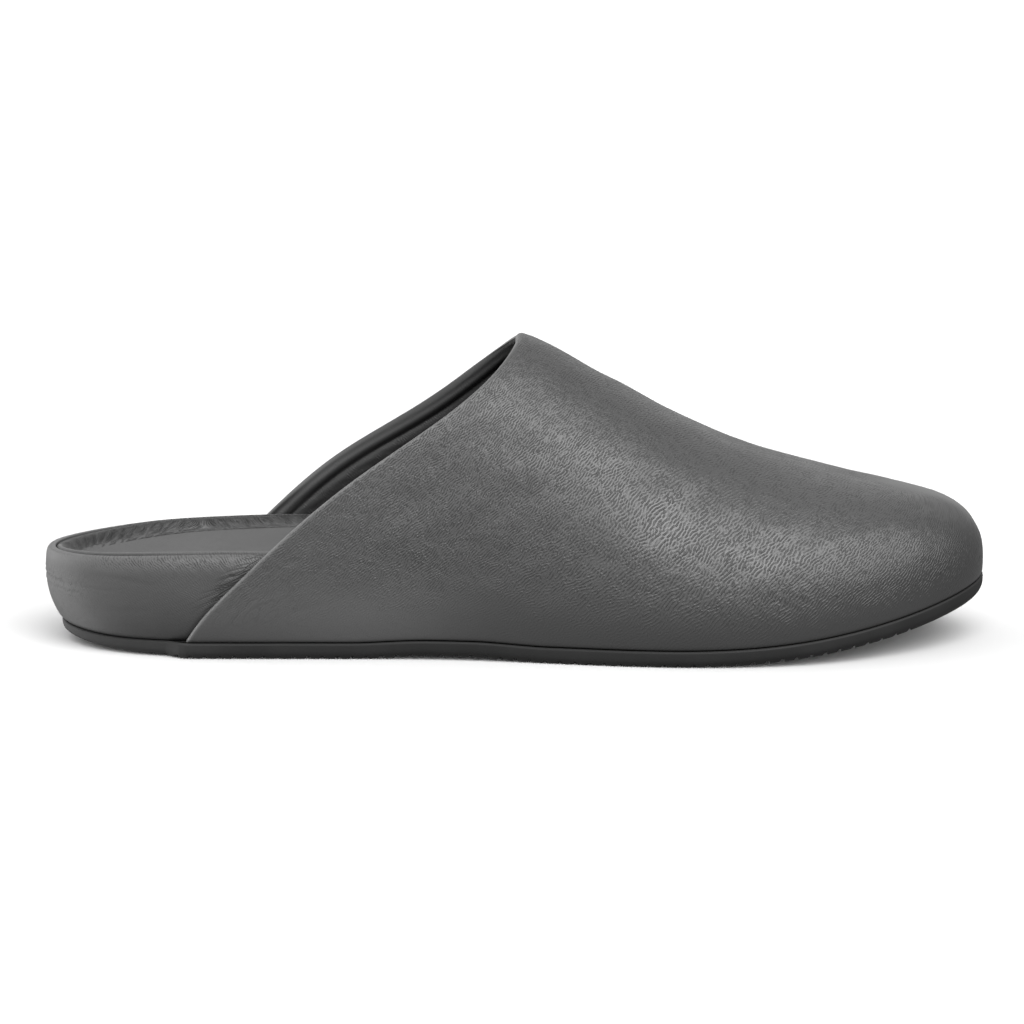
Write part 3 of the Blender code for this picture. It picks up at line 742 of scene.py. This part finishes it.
# The wrap's waves and its pleats below the roll
WRAP_RELIEF = 0.05
WRAP_WAVE = 16.0
PLEAT_WAVE = 9.0
PLEAT_RUN = (14.0, 30.0)
PLEAT_RISE = (0.74, 0.9)
# Where the wrap's relief starts above the sole and ends at the roll
WRAP_LOW = (1.0, 4.0)
WRAP_ROLL = (0.90, 0.99)


def rim_place(line, side):
    """Distance along a line of points round the shoe from the heel's back, medial positive."""
    back = np.argmin(line[:, 0])
    total = np.cumsum(norm(np.diff(line, axis=0, prepend=line[:1]), axis=-1))
    return np.abs(total - total[back]) * side


def wrap_values(side, x, heights, share):
    """Strength of the wrap's pleats and wrinkles, and its tone, with painted light on its top band, a
    painted highlight along its crest and a painted shadow beside the upper's edge; share is that of the
    rim's height.
    """
    ahead = collar_x(side, heights + feather(x)) - x
    by_edge = (1 - ease(ahead, *EDGE_WRINKLES)) * ease(heights, 8.0, 15.0)
    behind = (1 - ease(x, 6.0, 20.0)) * bell(heights, 3.5, 14.0)
    # Painted light on the wrap's top band and a painted highlight along its crest
    crest = ease(share, 0.975, 0.995)
    tone = 1.2 + 0.45 * ease(share, 0.76, 0.92) + 0.35 * crest
    return {
        "grain": 0.25 + 0.75 * ease(share, 0.82, 0.92) * ease(x, 8.0, 24.0),
        "wrinkle": 0.08 + 0.92 * np.maximum(by_edge, 0.7 * behind),
        # Painted shadow on the wrap beside the upper's edge
        "tone": tone - 0.45 * bell(np.maximum(ahead, 0), EDGE_PAINTED_SHADOW),
    }


def build_heel_wrap():
    """The leather band round the heel, rolled over the rim's edge into the seam."""
    side, p = both_sides(np.linspace(1, 0, HEEL_STATIONS + 1) * WRAP_END_STATION)
    x = station_x(p)
    wall = wrap_wall(x)
    rim = rim_height(side, x)
    heights = [rim * up for up, _ in WRAP_SIDE + WRAP_TOP]
    insets = [roll + 0 * x for _, roll in WRAP_SIDE]
    insets += [RIM_TOP_ROLL + wall * over for _, over in WRAP_TOP]
    heights = np.maximum(section_rows(heights, WRAP_ROWS), GAP)
    insets = section_rows(insets, WRAP_ROWS)
    share = heights / rim
    relief = crease_relief(x, heights + feather(x), WRAP_CREASES)
    relief += WRAP_RELIEF * ripple(x * side, heights, WRAP_WAVE, 31)
    pleats = WRAP_RELIEF * ripple(4.0 * (x + 0.8 * heights), 0.3 * heights, PLEAT_WAVE, 33)
    relief += pleats * ease(x, *PLEAT_RUN) * ease(share, *PLEAT_RISE)
    relief *= ease(heights, *WRAP_LOW) * (1 - ease(share, *WRAP_ROLL))
    outer = [ring(side, p, h, SEAT_INSET + i - r) for h, i, r in zip(heights, insets, relief)]
    backing = [ring(side, p, up * rim, WRAP_BACKING_INSET + wall) for up in WRAP_BACKING]
    points = np.array(outer + backing)
    faces = grid_faces(numbers_of(points), closed_rows=True)
    values = wrap_values(side, x, heights, share)
    for key, level in values.items():
        values[key] = np.concatenate([level, np.full((len(backing), len(x)), float(key == "tone"))])
    skin = np.stack([rim_place(points[0], side)[None] + 0 * points[..., 2], points[..., 2]], -1)
    return mesh_of("heel_wrap_leather", points.reshape(-1, 3), faces, skin.reshape(-1, 2), values)


def ladder_faces(loop, inner):
    """Faces over a loop: loop holds its vertex numbers, inner those of the rungs between its two sides."""
    half = len(loop) // 2
    rungs = np.concatenate([loop[1:half, None], inner, loop[-1:half:-1, None]], 1)
    ends = []
    for tip, rung in ((loop[0], rungs[0]), (loop[half], rungs[-1])):
        ends.append(np.stack([np.full(len(rung) - 1, tip), rung[:-1], rung[1:], rung[1:]], -1))
    return np.concatenate([grid_faces(rungs), ends[0], ends[1][:, ::-1]])


def capped(rings, steps, dished):
    """Points and faces of a closed piece, and its rings' vertex numbers. Its last and first ring are spanned
    by rungs from the lateral to the medial side, close-set at their ends. dished says which of the two sinks
    by the insole's dish."""
    half = rings.shape[1] // 2
    index = numbers_of(rings)
    points = [rings.reshape(-1, 3)]
    faces = [grid_faces(index, closed_columns=True)]
    start = index.size
    share = (1 - np.cos(np.linspace(0, np.pi, steps + 1)))[None, 1:-1, None] / 2
    for row, sunk in zip((-1, 0), dished):
        left = rings[row, 1:half]
        right = rings[row, -1:half:-1]
        rungs = left[:, None] + (right - left)[:, None] * share
        if sunk:
            room = norm(right - left, axis=-1)[:, None] ** 2 * share[..., 0] * (1 - share[..., 0])
            rungs[..., 2] -= BED_AT["dish"](rungs[..., 0]) * room / HALF_SEAT**2
        cap = ladder_faces(index[row], numbers_of(rungs, start))
        faces.append(cap if row else cap[:, ::-1])
        points.append(rungs.reshape(-1, 3))
        start += rungs[..., 0].size
    return np.concatenate(points), np.concatenate(faces), index


def leaned(place, run):
    """Place along the rim of the streak that passes through each point of the slope."""
    bow = 2.0 * (run - 0.5) ** 2
    return place - np.interp(place, STREAK_PLACES, STREAK_LEANS) * (run - 0.5 + bow)


# Where the rim's creases start and end down the slope, and how far forwards they reach
CREASE_START = (0.14, 0.32)
CREASE_END = (0.9, 1.2)
CREASE_FRONT = (80, 120)
# Steps of the rungs across each piece
BED_STEPS = 10
INSOLE_STEPS = 36
SOLE_STEPS = 8
# The insole's edge: how far it lies under the slope at most, and as a share of the slope
INSOLE_UNDER = 0.8
INSOLE_UNDER_SHARE = 0.2


def rim_creases(place, run):
    """Troughs across the rim's slope; place is along the rim from the heel's back, run down the slope."""
    total = np.zeros(np.broadcast(place, run).shape)
    for spot, lean, width, depth in RIM_CREASES:
        offset = place - spot - lean * (run - 0.5) - 0.8 * np.sin(4 * run + spot)
        ridge = 0.6 * bell(offset, 1.2 * width, 1.8 * width)
        total += 1.1 * depth * (ridge - bell(offset, width))
    return total + 0.05 * ripple(leaned(place, run), 2.0 * run, 1.7, 51)


def cover_tone(runs, creases, side):
    """Tone down the rim's cover: painted shade in the seam and the creases' troughs, painted light on their
    ridges, a painted highlight on the lateral crest, darker in the slope's middle and lighter towards the
    insole.
    """
    tone = 1 + 1.1 * ease(runs, 0.70, 1.0) - 0.2 * bell(runs, 0.22, 0.5)
    tone = tone + 1.6 * np.clip(creases, -0.3, 0.3) - 0.7 * bell(np.maximum(runs - 0.03, 0), 0.03)
    return np.maximum(tone + CREST_PAINTED_HIGHLIGHT * (side < 0) * bell(runs, CREST_WIDTH, PUFF_RUN), 0.15)


def build_footbed():
    """The footbed's core with the creased leather drawn over its rim, and the insole's recess."""
    side, p = both_sides(BED_LINE, closed=True)
    x = station_x(p)
    rim = rim_height(side, x)
    bed = bed_edge(side, x)
    clear = SEAT_INSET + wrap_room(x)
    slope = BED_AT["slope"](x)
    low = [ring(side, p, np.maximum(rim * share, GAP), clear + roll) for share, roll in CORE_SIDE]
    heights = [rim * share for share, _ in COVER_SEAM]
    heights += [rim + (bed - rim) * drop for drop, _ in COVER_SLOPE]
    heights = section_rows(heights, COVER_ROWS)
    runs = section_rows([share + 0 * x for _, share in COVER_SEAM + COVER_SLOPE], COVER_ROWS)
    edge = ring(side, p, rim, clear)
    round_trip = norm(np.diff(edge, axis=0, append=edge[:1]), axis=-1)
    place = np.concatenate([[0.0], np.cumsum(round_trip)[:-1]])
    place = np.where(side > 0, round_trip.sum() - place, -place)
    fade = ease(runs, *CREASE_START) * (1 - 0.4 * ease(runs, *CREASE_END))
    creases = fade * (1 - ease(x, *CREASE_FRONT)) * rim_creases(place, runs)
    puff = PUFF_LATERAL + (PUFF_MEDIAL - PUFF_LATERAL) * ease(edge[:, 1], *PUFF_TURN)
    heights = heights + puff * bell(runs, PUFF_RUN, PUFF_RUN) + creases
    cover = [ring(side, p, h, clear + RIM_TOP_ROLL + slope * r) for h, r in zip(heights, runs)]
    floor = ring(side, p, bed - INSOLE_WALL - GAP, clear + RIM_TOP_ROLL + RECESS_RUN * slope)
    points, faces, index = capped(np.array(low + cover + [floor]), BED_STEPS, (True, False))
    on_cover = index[len(low) : -1].ravel()
    tone = np.ones(len(points))
    tone[on_cover] = cover_tone(runs, creases, side).ravel()
    grain = np.full(len(points), PLAIN["grain"])
    grain[on_cover] = (0.3 + 0.7 * ease(runs, 0.18, 0.40)).ravel()
    skin = points[:, :2].copy()
    skin[on_cover, 0] = leaned(place, runs).ravel()
    skin[on_cover, 1] = (slope * runs).ravel()
    values = {"grain": grain, "wrinkle": 0.1, "tone": tone}
    return mesh_of("footbed_leather", points, faces, skin, values)


def build_insole():
    """The smooth sock panel, dished under the heel, with its edge under the rim's slope."""
    side, p = both_sides(BED_LINE, closed=True)
    x = station_x(p)
    bed = bed_edge(side, x)
    inset = SEAT_INSET + RIM_TOP_ROLL + wrap_room(x) + BED_AT["slope"](x)
    under = np.minimum(INSOLE_UNDER, INSOLE_UNDER_SHARE * BED_AT["slope"](x))
    heights = (bed - INSOLE_WALL, bed - 0.4, bed + 0.3 * under)
    insets = (inset + 0.5, inset - under, inset - under)
    rings = np.array([ring(side, p, h, i) for h, i in zip(heights, insets)])
    points, faces, index = capped(rings, INSOLE_STEPS, (True, True))
    rungs = points[index.size :]
    rungs[:, 2] += 0.05 * ripple(rungs[:, 0], rungs[:, 1], 24.0, 41)
    return mesh_of("insole_leather", points, faces, points[:, :2], {})


def sole_inset(x):
    """The outsole's edge inside the form: under the wrap at the heel, under the upper in front."""
    under_wrap = 1 - ease(x, SOLE_STEP_START, SOLE_STEP_END)
    return (SEAT_INSET + 0.2) * under_wrap - SOLE_PROUD


# The outsole's edge: share of its thickness down from the top, distance in at the top and share of the
# lower edge's rounding
SOLE_EDGE = (
    (0, 0.6, 0), (0.03, 0.28, 0), (0.09, 0.05, 0), (0.2, 0, 0), (0.5, 0, 0.04), (0.72, 0, 0.2),
    (0.88, 0, 0.5), (0.97, 0, 0.8), (1, 0, 1.15),
)


def tread(x):
    """Depth of the tread's grooves along the outsole, with slightly slanted walls."""
    first = (x - GROOVE_FIRST) / GROOVE_PITCH
    off = np.abs(first - np.round(first)) * GROOVE_PITCH
    groove = 1 - ease(off, GROOVE_WIDTH / 2 - 0.18, GROOVE_WIDTH / 2 + 0.18)
    within = (x > GROOVE_FIRST - GROOVE_PITCH / 2) & (x < GROOVE_LAST + GROOVE_PITCH / 2)
    return GROOVE_DEPTH * groove * within


def sole_stations():
    """Stations along the outsole: close-set at the ends, and at each wall of each groove."""
    count = int((GROOVE_LAST - GROOVE_FIRST) / GROOVE_PITCH) + 1
    grooves = GROOVE_FIRST + GROOVE_PITCH * np.arange(count)
    walls = np.array((-1.0, -0.76, -0.52, 0.52, 0.76, 1.0)) * (GROOVE_WIDTH / 2 + 0.2)
    walls = (grooves[:, None] + walls).ravel()
    return np.unique(np.concatenate([np.linspace(0, 1, SOLE_STATIONS + 1), x_station(walls)]).round(4))


def build_outsole():
    """The outsole's plate with its rounded edge and the tread's grooves across its underside."""
    side, p = both_sides(sole_stations(), closed=True)
    x = station_x(p)
    edge = SOLE_ROUND + (SOLE_HEEL_ROUND - SOLE_ROUND) * (1 - ease(x, 0, SOLE_HEEL_REACH))
    rings = []
    for down, bevel, back in section_rows(SOLE_EDGE, SOLE_ROWS):
        height = np.maximum(SOLE_THICKNESS * (1 - down), tread(x))
        rings.append(ring(side, p, height - SOLE_THICKNESS, sole_inset(x) + bevel + edge * back))
    points, faces, _ = capped(np.array(rings), SOLE_STEPS, (False, False))
    # Painted light: the outsole is lighter towards the heel
    tone = 1 + 1.2 * (1 - ease(points[:, 0], 20.0, 75.0))
    return mesh_of("outsole_rubber", points, faces[:, ::-1], points[:, :2], {"tone": tone})


def put(tree, socket, value):
    """Set a socket to a value, or link another node's output to it."""
    if isinstance(value, bpy.types.NodeSocket):
        tree.links.new(value, socket)
    else:
        socket.default_value = value


def node_of(tree, kind, values=(), **named):
    """A shader node with values for its sockets in their order, and settings or sockets by name."""
    node = tree.nodes.new(kind)
    for key, value in named.items():
        if key in node.bl_rna.properties:
            setattr(node, key, value)
        else:
            put(tree, node.inputs[key], value)
    for socket, value in zip(node.inputs, values):
        put(tree, socket, value)
    return node


def math_of(tree, operation, first, second):
    """A math node; either value may be a number or another node's output."""
    return node_of(tree, "ShaderNodeMath", (first, second), operation=operation).outputs[0]


def times(tree, first, second):
    """The product of two values."""
    return math_of(tree, "MULTIPLY", first, second)


def ramp_of(tree, value, low, high, to_low=0.0, to_high=1.0):
    """value mapped smoothly from the range low to high."""
    values = (value, low, high, to_low, to_high)
    return node_of(tree, "ShaderNodeMapRange", values, interpolation_type="SMOOTHSTEP").outputs["Result"]


def attribute_of(tree, name):
    """One of the mesh's values."""
    return node_of(tree, "ShaderNodeAttribute", attribute_name=name).outputs["Fac"]


def object_place(tree):
    """Object coordinates."""
    return tree.nodes.new("ShaderNodeTexCoord").outputs["Object"]


def new_material(name):
    """A material, its nodes and its shader."""
    material = bpy.data.materials.new(name)
    material.use_nodes = True
    tree = material.node_tree
    return material, tree, tree.nodes["Principled BSDF"]


def stretched(tree, turn, stretch, scale):
    """Object coordinates turned in the side view and stretched along the turned X."""
    turned = node_of(tree, "ShaderNodeMapping", Vector=object_place(tree), Rotation=(0, turn, 0)).outputs[0]
    size = (scale / stretch, scale, scale)
    return node_of(tree, "ShaderNodeMapping", Vector=turned, Scale=size).outputs[0]


def warped(tree, vector, scale, amount):
    """vector pushed about by a noise."""
    noise = node_of(tree, "ShaderNodeTexNoise", Vector=vector, Scale=scale, Detail=2.0).outputs["Color"]
    centred = node_of(tree, "ShaderNodeVectorMath", (noise, (0.5, 0.5, 0.5)), operation="SUBTRACT")
    pushed = (centred.outputs[0], (amount, amount, amount), vector)
    return node_of(tree, "ShaderNodeVectorMath", pushed, operation="MULTIPLY_ADD").outputs[0]


def noise_of(tree, vector, scale, detail, roughness=0.5):
    """A noise at these coordinates."""
    values = {"Vector": vector, "Scale": scale, "Detail": detail, "Roughness": roughness}
    return node_of(tree, "ShaderNodeTexNoise", **values).outputs["Fac"]


def ridged(tree, vector, scale, detail, width):
    """Thin winding valleys, from where a noise crosses its middle: 0 in the valleys, 1 between them."""
    noise = noise_of(tree, vector, scale, detail)
    off = math_of(tree, "ABSOLUTE", math_of(tree, "SUBTRACT", noise, 0.5), 0.0)
    return ramp_of(tree, off, 0.0, width)


# Lines of the Gabor texture for one of its kernels, and the kernel's scale at a pitch of 1 mm
GABOR_LINES = 2.4
GABOR_SCALE = 0.42
# The grain's two layers of lines, of which the second forks off the first: pitch as a factor, turn off the
# leather's own, straightness, and the levels where the valleys end and the flat tops start
GRAIN_LAYERS = ((1.0, 0.0, 0.74, 0.27, 0.56), (1.5, 0.6, 0.60, 0.20, 0.40))
PORE_HEIGHT = 0.3
# Ranges of the soft patches: levels of their noise, and the factors at these levels
PATCH_GRAIN = (0.35, 0.65, 0.88, 1.08)
PATCH_LEVELS = (0.3, 0.7)
PATCH_GLOSS = 0.05
# Painted shade in the valleys of the grain and the wrinkles, which are also duller
GRAIN_PAINTED_SHADE = 0.5
WRINKLE_PAINTED_SHADE = 0.55
GRAIN_DULLER = 0.25
COAT_ROUGHNESS = 0.36


def gabor_of(tree, pitch, turn, order):
    """Winding lines about pitch apart, in millimetres, mostly at this angle over the flat leather."""
    skin = node_of(tree, "ShaderNodeAttribute", attribute_name="skin").outputs["Vector"]
    values = {"Scale": GABOR_SCALE / pitch, "Frequency": GABOR_LINES, "Anisotropy": order}
    values |= {"Orientation": turn + np.pi / 2, "Vector": warped(tree, skin, 0.16, 1.2)}
    return node_of(tree, "ShaderNodeTexGabor", gabor_type="2D", **values).outputs["Value"]


def paint(tree, shader, tone, height, depth, values):
    """Give a shader its grey, which the mesh's own tone multiplies with its painted light and shade, its
    bumps and its other values.
    """
    tone = times(tree, tone, attribute_of(tree, "tone"))
    colour = node_of(tree, "ShaderNodeCombineColor", (tone, tone, tone)).outputs["Color"]
    bump = node_of(tree, "ShaderNodeBump", Strength=1.0, Distance=depth * MM, Height=height).outputs[0]
    for name, value in ({"Base Color": colour, "Normal": bump, "Coat Normal": bump} | values).items():
        put(tree, shader.inputs[name], value)


def leather(name, grey, roughness, pitch=1.1, depth=0.10, turn=0.85, wrinkle_turn=0.8, wrinkle_run=7.0,
            wrinkle_pitch=1.8, coat=0.0):
    """Leather with flat-topped ridges between winding valleys that fork, pores, longer wrinkles and soft
    patches of tone and gloss. The mesh's grain and wrinkle values set how strong each is."""
    material, tree, shader = new_material(name)
    wrinkled = attribute_of(tree, "wrinkle")
    layers = []
    for wide, fork, order, low, high in GRAIN_LAYERS:
        layers.append(ramp_of(tree, gabor_of(tree, wide * pitch, turn + fork, order), low, high))
    ridges = math_of(tree, "MINIMUM", *layers)
    along = stretched(tree, wrinkle_turn, wrinkle_run, 1 / (wrinkle_pitch * MM))
    lines = ridged(tree, warped(tree, along, 0.5, 1.0), 0.7, 1.0, 0.06)
    pores = noise_of(tree, object_place(tree), 2600.0, 2.0)
    patches = noise_of(tree, object_place(tree), 38.0, 3.0)

    strength = times(tree, attribute_of(tree, "grain"), ramp_of(tree, patches, *PATCH_GRAIN))
    height = math_of(tree, "ADD", times(tree, ridges, strength), times(tree, pores, PORE_HEIGHT))
    height = math_of(tree, "ADD", height, times(tree, lines, wrinkled))

    tone = times(tree, ramp_of(tree, patches, *PATCH_LEVELS, 0.94, 1.06), grey)
    in_grain = times(tree, math_of(tree, "SUBTRACT", 1.0, ridges), strength)
    in_lines = times(tree, math_of(tree, "SUBTRACT", 1.0, lines), wrinkled)
    # Painted shade: the tone is darker in the grain's valleys and the wrinkles' lines
    for valley, darker in ((in_grain, GRAIN_PAINTED_SHADE), (in_lines, WRINKLE_PAINTED_SHADE)):
        tone = times(tree, tone, math_of(tree, "SUBTRACT", 1.0, times(tree, valley, darker)))
    gloss = ramp_of(tree, patches, *PATCH_LEVELS, roughness + PATCH_GLOSS, roughness - PATCH_GLOSS)
    gloss = math_of(tree, "ADD", gloss, times(tree, in_grain, GRAIN_DULLER))
    values = {"Roughness": gloss, "Coat Weight": coat, "Coat Roughness": COAT_ROUGHNESS}
    paint(tree, shader, tone, height, depth, values)
    return material


def rubber(name, grey):
    """Matt black rubber with a fine moulded texture and faint dust."""
    material, tree, shader = new_material(name)
    fine = noise_of(tree, object_place(tree), 1600.0, 3.0, 0.6)
    dust = noise_of(tree, object_place(tree), 60.0, 4.0)
    tone = times(tree, ramp_of(tree, dust, *PATCH_LEVELS, 0.85, 1.2), grey)
    dull = ramp_of(tree, dust, *PATCH_LEVELS, 0.62, 0.72)
    paint(tree, shader, tone, fine, 0.05, {"Roughness": dull, "Specular IOR Level": 0.35})
    return material


# The photograph's camera
VIEW_HEIGHT = 9.5
VIEW_DISTANCE = 1300.0
AIM = (-1.07, 0.0, 38.2)
LENS = 149.7


def place_camera():
    """The camera, level across and looking a little down on the shoe's lateral side."""
    tilt = np.radians(VIEW_HEIGHT)
    aim = Vector(AIM) * MM
    back = Vector((0, -np.cos(tilt), np.sin(tilt)))
    camera = add("camera", bpy.data.cameras.new("camera"))
    camera.data.lens = LENS
    camera.data.sensor_width = 36.0
    camera.location = aim + back * VIEW_DISTANCE * MM
    camera.rotation_euler = (-back).to_track_quat("-Z", "Y").to_euler()
    bpy.context.scene.camera = camera


# Light: a soft key above the camera's side, a second one towards the toe, and a surround that is brighter to
# the left and darker to the right. The floor has lamps of its own. Each lamp has its direction, its width in
# degrees and its strength.
SHOE_LAMPS = {
    "key": ((0.12, -0.66, 0.74), 34.0, 1.8),
    "key_spread": ((0.12, -0.66, 0.74), 84.0, 1.05),
    "toe_side": ((0.66, -0.34, 0.67), 46.0, 1.75),
}
FLOOR_LAMPS = {
    "floor_top": ((0.0, 0.30, 0.95), 100.0, 0.4),
    "floor_front": ((0.30, -0.75, 0.55), 70.0, 5.2),
}
SKY_FRONT = 0.52
SKY_BACK = 0.58
RIGHT_SHADE = 0.25
GROUND = 0.32
LEFT = 2.0
BACK_GLOW = 0.1
LEFT_FRONT = 0.25
HORIZON = (-0.2, 0.15)
FLOOR_GREY = 0.70
FLOOR_HALF = 30.0


def add_lamps(lamps, lit):
    """Soft lamps that light only the objects of one collection."""
    for name, (towards, width, strength) in lamps.items():
        sun = bpy.data.lights.new(name, "SUN")
        sun.energy = strength
        sun.angle = np.radians(width)
        lamp = add(name, sun)
        lamp.rotation_euler = Vector(towards).to_track_quat("Z", "Y").to_euler()
        lamp.light_linking.receiver_collection = lit


def light_surround():
    """The world's light."""
    world = bpy.data.worlds.new("surround")
    world.use_nodes = True
    tree = world.node_tree
    place = tree.nodes.new("ShaderNodeTexCoord").outputs["Generated"]
    x, y, z = node_of(tree, "ShaderNodeSeparateXYZ", (place,)).outputs
    sky = ramp_of(tree, y, -0.6, 0.6, SKY_FRONT, SKY_BACK)
    sky = math_of(tree, "ADD", sky, ramp_of(tree, y, 0.6, 1.0, 0.0, BACK_GLOW))
    left = ramp_of(tree, y, -0.5, 0.3, LEFT_FRONT, 1.0)
    left = times(tree, left, ramp_of(tree, x, -1.0, -0.3, LEFT, 0.0))
    right = ramp_of(tree, x, 0.3, 0.8, 1.0, RIGHT_SHADE)
    above = ramp_of(tree, z, *HORIZON, 0.0, 1.0)
    below = ramp_of(tree, z, *HORIZON, GROUND, 0.0)
    sky = times(tree, sky, times(tree, above, right))
    grey = math_of(tree, "ADD", sky, math_of(tree, "ADD", below, left))
    tree.links.new(grey, tree.nodes["Background"].inputs["Color"])
    bpy.context.scene.world = world


def lay_floor():
    """The pale floor, which doesn't light the shoe from below."""
    corners = [(x * FLOOR_HALF, y * FLOOR_HALF, 0) for x, y in ((-1, -1), (1, -1), (1, 1), (-1, 1))]
    mesh = bpy.data.meshes.new("floor")
    mesh.from_pydata(corners, [], [(0, 1, 2, 3)])
    floor = add("floor", mesh)
    material, _, shader = new_material("floor")
    grey = (FLOOR_GREY, FLOOR_GREY, FLOOR_GREY, 1)
    for key, value in (("Base Color", grey), ("Roughness", 1.0), ("Specular IOR Level", 0.0)):
        shader.inputs[key].default_value = value
    mesh.materials.append(material)
    floor.visible_diffuse = False
    floor.visible_glossy = False
    return floor


place_camera()
light_surround()
floor_lit = bpy.data.collections.new("floor_lit")
floor_lit.objects.link(lay_floor())
add_lamps(FLOOR_LAMPS, floor_lit)
bpy.context.scene.view_settings.view_transform = "Standard"
rim_leather = leather(
    "footbed_leather", 0.036, 0.46, pitch=0.7, depth=0.16, turn=np.pi / 2, wrinkle_turn=1.1
)
wrap_leather = leather(
    "wrap_leather", 0.050, 0.46, pitch=0.7, wrinkle_turn=0.42, wrinkle_run=9.0, wrinkle_pitch=1.2
)
sock_leather = leather("insole_leather", 0.079, 0.55, pitch=0.8, depth=0.03)
vamp_leather = leather("upper_leather", 0.050, 0.38, pitch=0.76, depth=0.14, wrinkle_run=3.0, coat=0.25)
pieces = (
    (build_outsole(), "outsole", "outsole_rubber", rubber("outsole_rubber", 0.0135)),
    (build_footbed(), "footbed", "footbed_leather", rim_leather),
    (build_heel_wrap(), "heel_wrap", "wrap_leather", wrap_leather),
    (build_insole(), "insole", "insole_leather", sock_leather),
    (build_upper(), "upper", "upper_leather", vamp_leather),
)
shoe_lit = bpy.data.collections.new("shoe_lit")
for piece, node, slot, material in pieces:
    piece.data.materials.append(material)
    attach(piece, "root")
    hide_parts(node)
    shoe_lit.objects.link(piece)
add_lamps(SHOE_LAMPS, shoe_lit)
